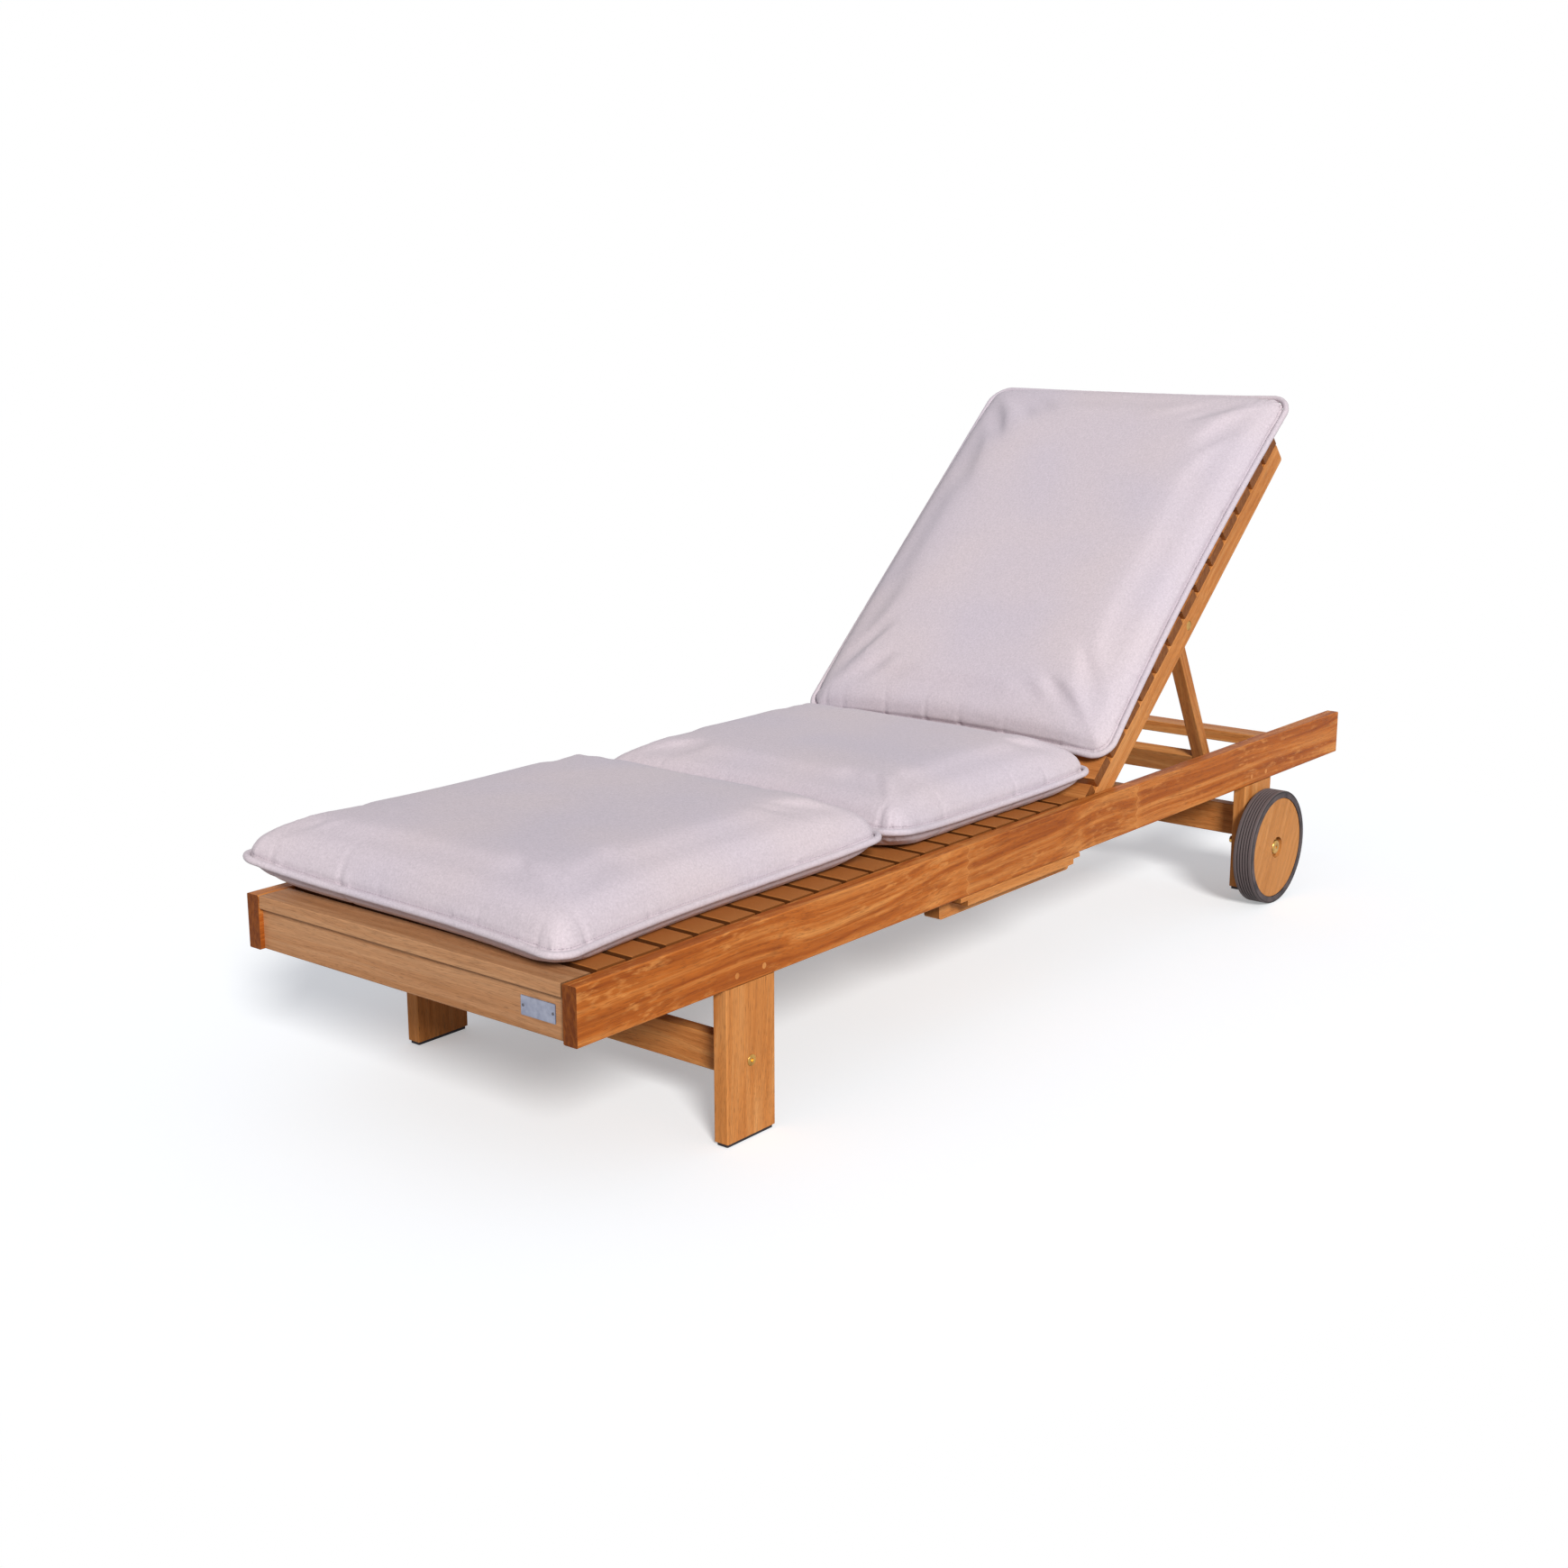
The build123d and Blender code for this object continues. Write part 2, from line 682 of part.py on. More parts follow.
def rack():
    """A notched rack under the path of a prop foot; each notch has an upright stop and a ramp."""
    guides = [rack_guide(recline) for recline in rack_guide_angles]
    first = guides[0]
    last = guides[-1]
    start = first[0] - rack_lead
    top = flat_stile_bottom - flat_clearance
    feet = [foot_centre(recline) for recline in rack_notch_angles]
    below = arm_depth / 2 + rack_clearance
    rack_floor = min(z for x, z in feet) - below - rack_notch_depth - rack_base
    sides = Polyline(first, (start, first[1]), (start, rack_floor), (last[0], rack_floor), last)
    profile = make_face(Spline(*guides) + sides)
    cap = Rectangle(last[0] - start, top - rack_floor)
    profile &= Pos((start + last[0]) / 2, (rack_floor + top) / 2) * cap
    for x, z in feet:
        wall = x + arm_depth / 2 + rack_wall_gap
        base = z - below - rack_notch_depth
        ramp_end = wall - rack_notch_flat - rack_notch_ramp
        notch = Polyline(
            (wall, z),
            (wall, base),
            (wall - rack_notch_flat, base),
            (ramp_end, z - below + cut_overrun),
            (ramp_end, z),
            close=True,
        )
        profile -= make_face(notch)
    rack_inner = arm_inner + rack_side_clearance
    return Pos(0, inner_half, 0) * extrude(Plane.XZ * profile, inner_half - rack_inner)


def rear_crossbar():
    """The bar between the rails that the stiles lie on when the backrest is flat."""
    start = hinge_x + stile_reach - crossbar_bearing
    top = flat_stile_bottom - flat_clearance
    return board(
        (start, start + crossbar_width),
        across(inner_half),
        (top - crossbar_thickness, top),
        Axis.Y,
        wood_arris,
    )


def tray_board():
    """The tray: a board with a tongue along each side, drawn out from under the left rail."""
    y_span = (-half_width, tray_depth - half_width)
    lower = tray_width / 2
    wide = lower + tray_tongue
    tray = block((tray_x - lower, tray_x + lower), y_span, (tray_bottom, tray_top))
    tray += block((tray_x - wide, tray_x + wide), y_span, (tray_top - tray_tongue_thickness, tray_top))
    return fillet(tray.edges().filter_by(Axis.X), tray_arris)


def tray_stop():
    """The block under the tray that meets the left batten when the tray is drawn right out."""
    near = -(half_width - batten_setback - batten_width) + tray_travel + tray_clearance
    return board(
        (tray_x - stop_width / 2, tray_x + stop_width / 2),
        (near, near + stop_thickness),
        (tray_bottom - stop_height, tray_bottom),
        Axis.X,
        tray_arris,
    )


def tray_runner(side):
    """A grooved runner across the frame, under the ledgers, beside the tray; side is -1 or 1 along X."""
    inner = tray_width / 2 + tray_clearance
    groove = tray_width / 2 + tray_tongue + tray_clearance
    upper = block((inner, runner_half), across(inner_half), (rail_bottom, ledger_top - ledger_height))
    reach = half_width - batten_setback
    lower = block((inner, runner_half), across(reach), (runner_bottom, rail_bottom))
    groove_bottom = tray_top - tray_tongue_thickness - tray_clearance
    cut = block(
        (inner - cut_overrun, groove),
        across(inner_half + cut_overrun),
        (groove_bottom, tray_top + tray_clearance),
    )
    runner = upper + lower - cut
    if side < 0:
        runner = mirror(runner, about=Plane.YZ)
    return Pos(tray_x, 0, 0) * runner


def tray_batten():
    """A batten under the runners, with its lower corners rounded off."""
    outer = half_width - batten_setback
    piece = block(
        (tray_x - runner_half, tray_x + runner_half),
        (outer - batten_width, outer),
        (runner_bottom - batten_height, runner_bottom),
    )
    corners = piece.edges().filter_by(Axis.Y).sort_by(Axis.Z)[:2]
    return fillet(corners, batten_round)


def cushion_outline(half_length, half_width_here, corner, sag):
    """A rounded rectangle whose sides are drawn in by the sag between its corners."""
    a = half_length
    b = half_width_here
    cut = corner * (1 - sqrt(1 / 2))
    quarter = [
        ThreePointArc((-(a - corner), -b), (0, -(b - sag)), (a - corner, -b)),
        ThreePointArc((a - corner, -b), (a - cut, -(b - cut)), (a, -(b - corner))),
        ThreePointArc((a, -(b - corner)), (a - sag, 0), (a, b - corner)),
        ThreePointArc((a, b - corner), (a - cut, b - cut), (a - corner, b)),
        ThreePointArc((a - corner, b), (0, b - sag), (-(a - corner), b)),
        ThreePointArc((-(a - corner), b), (-(a - cut), b - cut), (-a, b - corner)),
        ThreePointArc((-a, b - corner), (-(a - sag), 0), (-a, -(b - corner))),
        ThreePointArc((-a, -(b - corner)), (-(a - cut), -(b - cut)), (-(a - corner), -b)),
    ]
    return make_face(Curve() + quarter)


def cushion_levels(length, width, thickness, level_shares):
    """The outlines of a cushion at some of its levels."""
    outlines = []
    for height_share, inset_share in level_shares:
        inset = cushion_crown_share * min(length, width) * inset_share
        halves = (length / 2 - inset, width / 2 - inset)
        corner = cushion_corner + inset * cushion_corner_growth_share
        corner = min(corner, cushion_corner_limit_share * min(halves))
        sag = cushion_sag * (1 - inset_share * cushion_sag_loss_share)
        outline = cushion_outline(*halves, corner, sag)
        outlines.append(Pos(0, 0, thickness * height_share) * outline)
    return outlines


def cushion(length, width, thickness):
    """A crowned cushion, flat below, widest at its welt, centred on the origin."""
    underside = cushion_levels(length, width, thickness, cushion_underside_shares)
    crown = cushion_levels(length, width, thickness, cushion_flank_shares + cushion_summit_shares)
    return loft(underside, ruled=True) + loft(crown)


def leg_cushion():
    """The cushion at the foot end."""
    x = cushion_start + leg_cushion_length / 2
    plain = cushion(leg_cushion_length, seat_cushion_width, leg_cushion_thickness)
    return Pos(x, leg_cushion_shift, slat_top + cushion_clearance) * plain


def seat_cushion():
    """The cushion behind it, whose rear edge lies under the back cushion's lower edge."""
    plain = cushion(cushion_end - seat_cushion_start, seat_cushion_width, seat_cushion_thickness)
    x = (seat_cushion_start + cushion_end) / 2
    return Pos(x, seat_cushion_shift, slat_top + cushion_clearance) * plain


def back_cushion():
    """The cushion on the backrest slats."""
    plain = cushion(back_cushion_end - back_cushion_start, back_cushion_width, back_cushion_thickness)
    height = stile_depth / 2 + slat_thickness + cushion_clearance
    middle = (back_cushion_start + back_cushion_end) / 2
    return backrest_place * Pos(middle, back_cushion_shift, height) * plain


def pair(name, piece):
    """The right piece as drawn and its mirror image on the left."""
    return {f"left_{name}": mirror(piece, about=Plane.XZ), f"right_{name}": piece}


def sets(name, groups):
    """Numbered nodes, each a group of separate solids."""
    return {f"{name}_{number}": Compound(children=group) for number, group in enumerate(groups, 1)}


def all_nodes():
    """Every node of the lounger by name."""
    front_x, rear_x = leg_centres
    nodes = {}
    nodes.update(pair("rail", rail()))
    nodes.update(pair("ledger", ledger()))
    nodes["front_apron"] = front_apron()
    nodes["front_cap_slat"] = front_cap()
    nodes.update(sets("seat_slats", seat_slat_sets()))
    nodes.update(pair("front_leg", front_leg()))
    nodes.update(pair("rear_leg", rear_leg()))
    nodes.update(pair("front_pad", leg_pad(front_x, 0)))
    nodes.update(pair("rear_pad", leg_pad(rear_x, rear_leg_lift)))
    nodes["front_stretcher"] = stretcher(front_x, front_stretcher_bottom, front_stretcher_height)
    nodes["rear_stretcher"] = stretcher(rear_x, rear_stretcher_bottom, rear_stretcher_height)
    nodes["leg_dowels"] = Compound(children=leg_dowels())
    nodes["stretcher_bolts"] = Compound(children=stretcher_bolts())
    nodes["barrel_nuts"] = Compound(children=barrel_nuts())
    nodes["rear_crossbar"] = rear_crossbar()
    nodes.update(pair("rack", rack()))
    nodes["tray_board"] = tray_board()
    nodes["tray_stop"] = tray_stop()
    nodes["front_tray_runner"] = tray_runner(-1)
    nodes["rear_tray_runner"] = tray_runner(1)
    nodes.update(pair("tray_batten", tray_batten()))
    nodes.update(pair("wheel_disc", wheel_disc()))
    nodes.update(pair("tyre", tyre()))
    nodes.update(pair("wheel_bush", wheel_bush()))
    nodes.update(pair("axle_bolt", axle_bolt()))
    nodes["axle_spacers"] = Compound(children=axle_spacers())
    nodes["axle_nuts"] = Compound(children=axle_nuts())
    nodes.update(pair("stile", stile()))
    nodes.update(sets("back_slats", back_slat_sets()))
    nodes["hinge_bolts"] = Compound(children=hinge_bolts())
    nodes["prop_bolts"] = Compound(children=prop_bolts())
    nodes["hinge_washers"] = Compound(children=hinge_washers())
    nodes.update(pair("prop_arm", prop_arm()))
    nodes["prop_foot_bar"] = prop_foot_bar()
    nodes["leg_cushion"] = leg_cushion()
    nodes["seat_cushion"] = seat_cushion()
    nodes["back_cushion"] = back_cushion()
    return nodes


os.makedirs("parts", exist_ok=True)
for node, shape in all_nodes().items():
    export_step(shape, f"parts/{node}.step")
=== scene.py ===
# %% [markdown]
# # A teak sun lounger with three cushions
# The solid model is the frame: rails, legs, slats, wheels, backrest, prop and tray arrive with their real
# sizes and stay where they are. Here they get their timber, brass and rubber, and the three cushions are
# made again as cloth.

import json
from math import cos, degrees, pi, radians, sin

import bmesh
import bpy
import numpy as np
from mathutils import Matrix, Vector
from mathutils.bvhtree import BVHTree
from mathutils.kdtree import KDTree


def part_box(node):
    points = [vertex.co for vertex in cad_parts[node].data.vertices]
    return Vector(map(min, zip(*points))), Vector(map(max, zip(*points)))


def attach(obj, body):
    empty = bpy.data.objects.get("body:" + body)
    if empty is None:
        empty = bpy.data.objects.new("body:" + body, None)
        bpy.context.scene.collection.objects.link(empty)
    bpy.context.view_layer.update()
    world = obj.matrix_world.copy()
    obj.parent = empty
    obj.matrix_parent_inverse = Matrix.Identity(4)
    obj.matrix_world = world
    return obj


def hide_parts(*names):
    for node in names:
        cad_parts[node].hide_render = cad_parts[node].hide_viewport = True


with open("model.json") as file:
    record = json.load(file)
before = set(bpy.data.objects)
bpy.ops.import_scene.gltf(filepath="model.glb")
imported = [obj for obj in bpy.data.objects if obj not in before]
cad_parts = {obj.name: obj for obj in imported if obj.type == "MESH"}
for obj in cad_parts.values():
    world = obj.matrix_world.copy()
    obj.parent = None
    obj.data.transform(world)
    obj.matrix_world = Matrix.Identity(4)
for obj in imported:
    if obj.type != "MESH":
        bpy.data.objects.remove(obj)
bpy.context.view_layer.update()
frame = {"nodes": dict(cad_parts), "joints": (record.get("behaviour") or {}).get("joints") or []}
nodes = frame["nodes"]

# %% [markdown]
# ## Small helpers for node trees
# A material is a tree of nodes, and so is a Geometry Nodes modifier. Written with Blender's own calls, each
# node takes four or five lines. A small class adds a node with its settings and feeds its sockets in one
# call, so that a tree reads like a recipe. Both kinds of tree share it.

# %% Helper for any node tree


class NodeTree:
    """A tree of nodes, with a short call that adds one."""

    prefix = ""

    def __init__(self, tree):
        self.tree = tree

    def add(self, kind, feeds=None, **settings):
        """One node, with its settings and with values or other sockets fed to its inputs."""
        made = self.tree.nodes.new(kind if "Node" in kind else self.prefix + kind)
        for key, value in settings.items():
            setattr(made, key, value)
        for key, value in (feeds or {}).items():
            if isinstance(value, bpy.types.NodeSocket):
                self.tree.links.new(value, made.inputs[key])
            else:
                made.inputs[key].default_value = value
        return made


def screen(red, green, blue):
    """The linear colour of three 8-bit screen values."""
    shares = (value / 255 for value in (red, green, blue))
    return tuple(v / 12.92 if v <= 0.04045 else ((v + 0.055) / 1.055) ** 2.4 for v in shares) + (1.0,)


def darker(colour, share):
    """A colour with less light in it."""
    return tuple(share * value for value in colour[:3]) + (1.0,)


print("a middle grey is", round(screen(128, 128, 128)[0], 3))

# %% [markdown]
# ## Material recipes
# Each finish below mixes a few noises. These calls keep that short: a sum, a noise stretched along the three
# directions, a value carried from one range to another, a mix of colours, a ramp and a bump.

# %% Helper for materials


class Recipe(NodeTree):
    """A material's tree."""

    prefix = "ShaderNode"

    def __init__(self, name):
        self.material = bpy.data.materials.new(name)
        self.material.use_nodes = True
        super().__init__(self.material.node_tree)
        self.tree.nodes.clear()
        self.output = self.add("OutputMaterial")

    def maths(self, operation, *values):
        """The result of one sum."""
        return self.add("Math", dict(enumerate(values)), operation=operation).outputs[0]

    def vector(self, operation, first, second):
        """The result of one vector sum."""
        return self.add("VectorMath", {0: first, 1: second}, operation=operation).outputs[0]

    def split(self, place):
        """The three parts of a vector."""
        return self.add("SeparateXYZ", {"Vector": place}).outputs

    def noise(self, place, scales, detail=2.0, distortion=0.0):
        """A noise value whose grain differs along the three directions."""
        stretched = self.vector("MULTIPLY", place, scales)
        feeds = {"Vector": stretched, "Scale": 1.0, "Detail": detail, "Distortion": distortion}
        return self.add("TexNoise", feeds).outputs["Fac"]

    def chance(self, number):
        """A random value and a random vector for a number."""
        made = self.add("TexWhiteNoise", {"W": number}, noise_dimensions="1D").outputs
        return made["Value"], made["Color"]

    def between(self, value, low, high, to_low=0.0, to_high=1.0):
        """A value carried from one range to another, and held at its ends."""
        feeds = {"Value": value, "From Min": low, "From Max": high, "To Min": to_low, "To Max": to_high}
        return self.add("MapRange", feeds).outputs["Result"]

    def mix(self, share, first, second, blend="MIX"):
        """Two colours, mixed by a share."""
        made = self.add("Mix", data_type="RGBA", blend_type=blend)
        for name, value in (("Factor_Float", share), ("A_Color", first), ("B_Color", second)):
            socket = next(s for s in made.inputs if s.identifier == name)
            if isinstance(value, bpy.types.NodeSocket):
                self.tree.links.new(value, socket)
            else:
                socket.default_value = value
        return next(s for s in made.outputs if s.identifier == "Result_Color")

    def shaded(self, colour, shade):
        """A colour multiplied by a value."""
        grey = self.add("CombineXYZ", {"X": shade, "Y": shade, "Z": shade}).outputs["Vector"]
        return self.mix(1.0, colour, grey, blend="MULTIPLY")

    def ramp(self, value, stops):
        """A colour from a value, by stops of place and colour."""
        made = self.add("ValToRGB", {"Fac": value})
        elements = made.color_ramp.elements
        while len(elements) < len(stops):
            elements.new(0.5)
        for element, (place, colour) in zip(elements, stops):
            element.position = place
            element.color = colour
        return made.outputs["Color"]

    def bump(self, height, strength, depth):
        """A normal that is tilted by a height."""
        feeds = {"Height": height, "Strength": strength, "Distance": depth}
        return self.add("Bump", feeds).outputs["Normal"]

    def finish(self, feeds):
        """Ends the tree in the main shader."""
        surface = self.add("BsdfPrincipled", feeds)
        return self.end(surface.outputs["BSDF"])

    def end(self, shader):
        """Ends the tree in a shader of its own."""
        self.tree.links.new(shader, self.output.inputs["Surface"])
        return self.material


print("recipes add nodes whose type starts with", Recipe.prefix)

# %% [markdown]
# ## Timber
# Teak is orange brown, with long darker streaks along the board, fine fibres, short dark pores and paler
# flecks where the fibres turn towards the light. One recipe makes every board: it turns the pattern so that
# its first direction runs along the grain, stretches noises along it, and darkens the sawn ends. The slats
# of one node are told apart by counting pitches across them, so that no two slats are sawn from the same
# plank, and their sides, which face the gaps, are darkened with painted shade.
# A rail is glued up from lengths with fingers cut in their ends, and the zigzag glue line shows pale.

# %% Sizes of the grain
fibre_pitch = 0.0013
pore_pitch = 0.0007
line_pitch = 0.0036
streak_pitch = 0.013
fleck_size = (0.024, 0.006, 0.006)
patch_size = (0.11, 0.05, 0.05)
finger_pitch = 0.0085
finger_length = 0.007
glue_width = 0.0009
glue_paleness = 0.7
planed_width = 0.016
planed_paleness = 0.35
board_spread = 0.04
slat_spread = 0.13
board_jump = 3.0
grain_wander = 0.05
arris_wear = 0.22
# painted shade on the sides of slats, where they face the gaps
gap_painted_shade = 0.30
end_shades = (0.45, 0.52)
print("fibres:", fibre_pitch, "streaks:", streak_pitch)

# %% [markdown]
# ### The parts of the timber recipe
# A board's number picks where in the endless pattern it is cut. Slats are numbered by counting pitches, and
# finger joints add one to the number past a zigzag line, beside which the wood was planed and is paler. The
# grain wanders a little from side to side. The figure is the sum of broad streaks, dark lines and clustered
# flecks. A sawn end shows rings instead.

# %% Parts of the timber recipe


def numbered(r, raw, board, seed):
    """The number of the board or slat that a place lies on."""
    if not board:
        return seed
    direction, start, pitch = board
    crossed = r.add("VectorMath", {0: raw, 1: direction}, operation="DOT_PRODUCT").outputs["Value"]
    steps = r.maths("FLOOR", r.maths("DIVIDE", r.maths("SUBTRACT", crossed, start), pitch))
    return r.maths("ADD", steps, seed)


def jointed(r, along, number, joint_at):
    """The board's number past each finger joint, and how near the glue line is."""
    glue = 0.0
    parts = r.split(along)
    zigzag = r.maths("PINGPONG", r.maths("DIVIDE", parts["Z"], finger_pitch), 1.0)
    wander = r.maths("MULTIPLY", zigzag, finger_length)
    for place in joint_at:
        past = r.maths("SUBTRACT", parts["X"], r.maths("ADD", wander, place))
        number = r.maths("ADD", r.maths("GREATER_THAN", past, 0.0), number)
        near = r.maths("ABSOLUTE", past)
        planed = r.between(near, planed_width, 0.0, 0.0, planed_paleness)
        line = r.maths("ADD", r.between(near, glue_width, 0.0), planed)
        glue = r.maths("MAXIMUM", glue, line)
    return number, glue


def wandering(r, grain):
    """The place in the pattern, bent a little from side to side along the board."""
    bend = r.maths("SUBTRACT", r.noise(grain, (2.4, 5.0, 5.0), detail=1.0), 0.5)
    bend = r.maths("MULTIPLY", bend, grain_wander)
    return r.vector("ADD", grain, r.add("CombineXYZ", {"Y": bend, "Z": bend}).outputs["Vector"])


def figured(r, grain, dark, middle, light, lines, flecks):
    """The colour of the figure: broad streaks, dark lines along them and clustered flecks."""
    streak = r.noise(grain, (1.3, 1 / streak_pitch, 1 / streak_pitch), detail=4.0, distortion=0.5)
    colour = r.ramp(streak, ((0.32, dark), (0.50, middle), (0.70, light)))
    line = r.noise(grain, (3.5, 1 / line_pitch, 1 / line_pitch), detail=3.0, distortion=0.3)
    colour = r.mix(r.between(line, 0.54, 0.70, 0.0, lines), colour, darker(dark, 0.72))
    patch = r.between(r.noise(grain, [1 / size for size in patch_size], detail=2.0), 0.42, 0.62)
    fleck = r.between(r.noise(grain, [1 / size for size in fleck_size], detail=3.0), 0.52, 0.70)
    return r.mix(r.maths("MULTIPLY", r.maths("MULTIPLY", patch, fleck), flecks), colour, light)


def sawn_end(r, grain, dark, middle):
    """The colour of a sawn end: darker, with rings."""
    rings = r.noise(grain, (30.0, 240.0, 90.0), detail=3.0, distortion=0.6)
    return r.ramp(rings, ((0.35, darker(dark, end_shades[0])), (0.65, darker(middle, end_shades[1]))))


print("wood is planed paler for", planed_width, "beside a glue line")

# %% [markdown]
# ### A whole board
# The recipe turns the pattern, cuts the board out of it and lays fibres and pores over the figure. They also
# make the relief. Broken edges are worn paler, the sides of slats get painted shade for the dark gaps, and
# the sawn ends are darkest.

# %% Timber recipe


def teak(name, colours, turn=(0, 0, 0), board=None, seed=0.0, joint_at=(), lines=0.5, flecks=0.5):
    """Timber with its grain along X after the turn; board is the slats' direction, start and pitch."""
    dark, middle, light = colours
    spread = slat_spread if board else board_spread
    r = Recipe(name)
    coordinates = r.add("TexCoord")
    raw = coordinates.outputs["Object"]
    along = r.add("Mapping", {"Vector": raw, "Rotation": turn}).outputs["Vector"]
    feeds = {"Vector": coordinates.outputs["Normal"], "Rotation": turn}
    facing = r.add("Mapping", feeds, vector_type="VECTOR").outputs["Vector"]
    number, glue = jointed(r, along, numbered(r, raw, board, seed), joint_at)
    tone, jump = r.chance(number)
    cut = r.vector("ADD", along, r.vector("MULTIPLY", jump, (board_jump, board_jump, board_jump)))
    grain = wandering(r, cut)
    colour = figured(r, grain, dark, middle, light, lines, flecks)
    fibre = r.noise(grain, (16.0, 1 / fibre_pitch, 1 / fibre_pitch), detail=2.0)
    pores = r.between(r.noise(grain, (70.0, 1 / pore_pitch, 1 / pore_pitch), detail=0.0), 0.60, 0.72)
    fibre_shade = r.between(fibre, 0.25, 0.75, 0.84, 1.14)
    pore_shade = r.between(pores, 0.0, 1.0, 1.0, 0.74)
    board_shade = r.between(tone, 0.0, 1.0, 1.0 - spread, 1.0 + spread)
    shade = r.maths("MULTIPLY", r.maths("MULTIPLY", fibre_shade, pore_shade), board_shade)
    colour = r.shaded(colour, shade)
    sides = [r.maths("ABSOLUTE", part) for part in r.split(facing)]
    flatness = r.maths("MAXIMUM", r.maths("MAXIMUM", sides[0], sides[1]), sides[2])
    colour = r.mix(r.between(flatness, 0.99, 0.80, 0.0, arris_wear), colour, light)
    if joint_at:
        colour = r.mix(r.maths("MULTIPLY", glue, glue_paleness), colour, light)
    if board:
        # painted shade: the sides of the slats, which face the gaps, are darkened
        colour = r.mix(r.between(sides[1], 0.80, 0.95), colour, darker(dark, gap_painted_shade))
    colour = r.mix(r.between(sides[0], 0.80, 0.95), colour, sawn_end(r, grain, dark, middle))
    feeds = {
        "Base Color": colour,
        "Roughness": r.between(fibre, 0.3, 0.7, 0.44, 0.58),
        "Specular IOR Level": 0.12,
        "Normal": r.bump(r.maths("SUBTRACT", r.maths("MULTIPLY", fibre, 0.6), pores), 0.30, 0.0003),
    }
    return r.finish(feeds)


print("timber recipe ready")

# %% [markdown]
# ## Timbers of the lounger
# The rails are the reddest boards, the legs, stretchers and apron are paler, and the slats lie between.
# Each board's grain runs along its length: X for the rails and the tray, Y for slats, apron and stretchers,
# Z for the legs, and the slope of the backrest for its stiles. A turn about Y or Z brings that direction to
# X. The slopes are read from the joints and the foot bar, so they follow if the backrest is set otherwise.

# %% Places of the leaning pieces
recline = next(joint for joint in frame["joints"] if joint["name"] == "recline")
hinge = Vector(recline["pos_m"])
rest_slope = radians(-recline["range_deg"][0])
backrest_place = Matrix.Translation(hinge) @ Matrix.Rotation(-rest_slope, 4, "Y")
prop_joint = next(joint for joint in frame["joints"] if joint["name"] == "prop_swing")
prop_pivot = Vector(prop_joint["pos_m"])
foot_low, foot_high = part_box("prop_foot_bar")
foot_middle = (Vector(foot_low) + Vector(foot_high)) / 2
prop_slope = np.arctan2(prop_pivot.z - foot_middle.z, foot_middle.x - prop_pivot.x)
print("backrest slope:", round(degrees(rest_slope), 1), "prop slope:", round(degrees(prop_slope), 1))

# %% [markdown]
# ### Counting slats
# A node holds three neighbouring slats of the seat, or four of the backrest, whose last node holds two. The
# pitch is the first node's reach less one slat, shared out. The slat's own width is its flat face, which is
# the longest step between points across it, and the two broken edges beside that. Counting starts in the
# middle of a gap.

# %% Slat pitches
half_gap = 0.005
seat_slats_in_node = 3
back_slats_in_node = 4
seat_low, seat_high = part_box("seat_slats_1")
back_points = [backrest_place.inverted() @ v.co for v in nodes["back_slats_1"].data.vertices]
back_start = min(point.x for point in back_points)
back_reach = max(point.x for point in back_points) - back_start


def slat_width_of(places):
    """The width of the first slat of a node, from its points' places across the slats."""
    levels = sorted({round(place, 4) for place in places})
    steps = [after - before for before, after in zip(levels, levels[1:])]
    flat = steps.index(max(steps))
    return levels[flat] + levels[flat + 1] - 2 * levels[0]


seat_slat = slat_width_of([v.co.x for v in nodes["seat_slats_1"].data.vertices])
back_slat = slat_width_of([point.x for point in back_points])
seat_pitch = (seat_high.x - seat_low.x - seat_slat) / (seat_slats_in_node - 1)
back_pitch = (back_reach - back_slat) / (back_slats_in_node - 1)
seat_board = ((1, 0, 0), seat_low.x - half_gap, seat_pitch)
upward = (cos(rest_slope), 0, sin(rest_slope))
hinge_along = hinge.x * upward[0] + hinge.z * upward[2]
back_board = (upward, hinge_along + back_start - half_gap, back_pitch)
print("slats:", round(seat_slat, 4), round(back_slat, 4))
print("pitches:", round(seat_pitch, 4), round(back_pitch, 4))

# %% [markdown]
# ### The timbers themselves
# Dark, middle and light of each kind of board are read off boards in plain light. The near rail has two
# finger joints, at measured places, and the far rail has its own.

# %% Timbers
across_turn = (0, 0, -pi / 2)
upright_turn = (0, pi / 2, 0)
stile_turn = (0, rest_slope, 0)
prop_turn = (0, -prop_slope, 0)
disc_turn = (0, radians(62), 0)

rail_colours = (screen(148, 73, 23), screen(178, 98, 37), screen(208, 137, 72))
slat_colours = (screen(158, 90, 40), screen(178, 110, 55), screen(196, 131, 74))
brace_colours = (screen(170, 101, 46), screen(188, 120, 63), screen(203, 141, 82))
pale_colours = (screen(188, 116, 56), screen(202, 131, 69), screen(214, 149, 88))
apron_colours = (screen(164, 114, 74), screen(177, 127, 87), screen(189, 142, 102))
disc_colours = (screen(182, 119, 62), screen(193, 129, 70), screen(202, 140, 82))

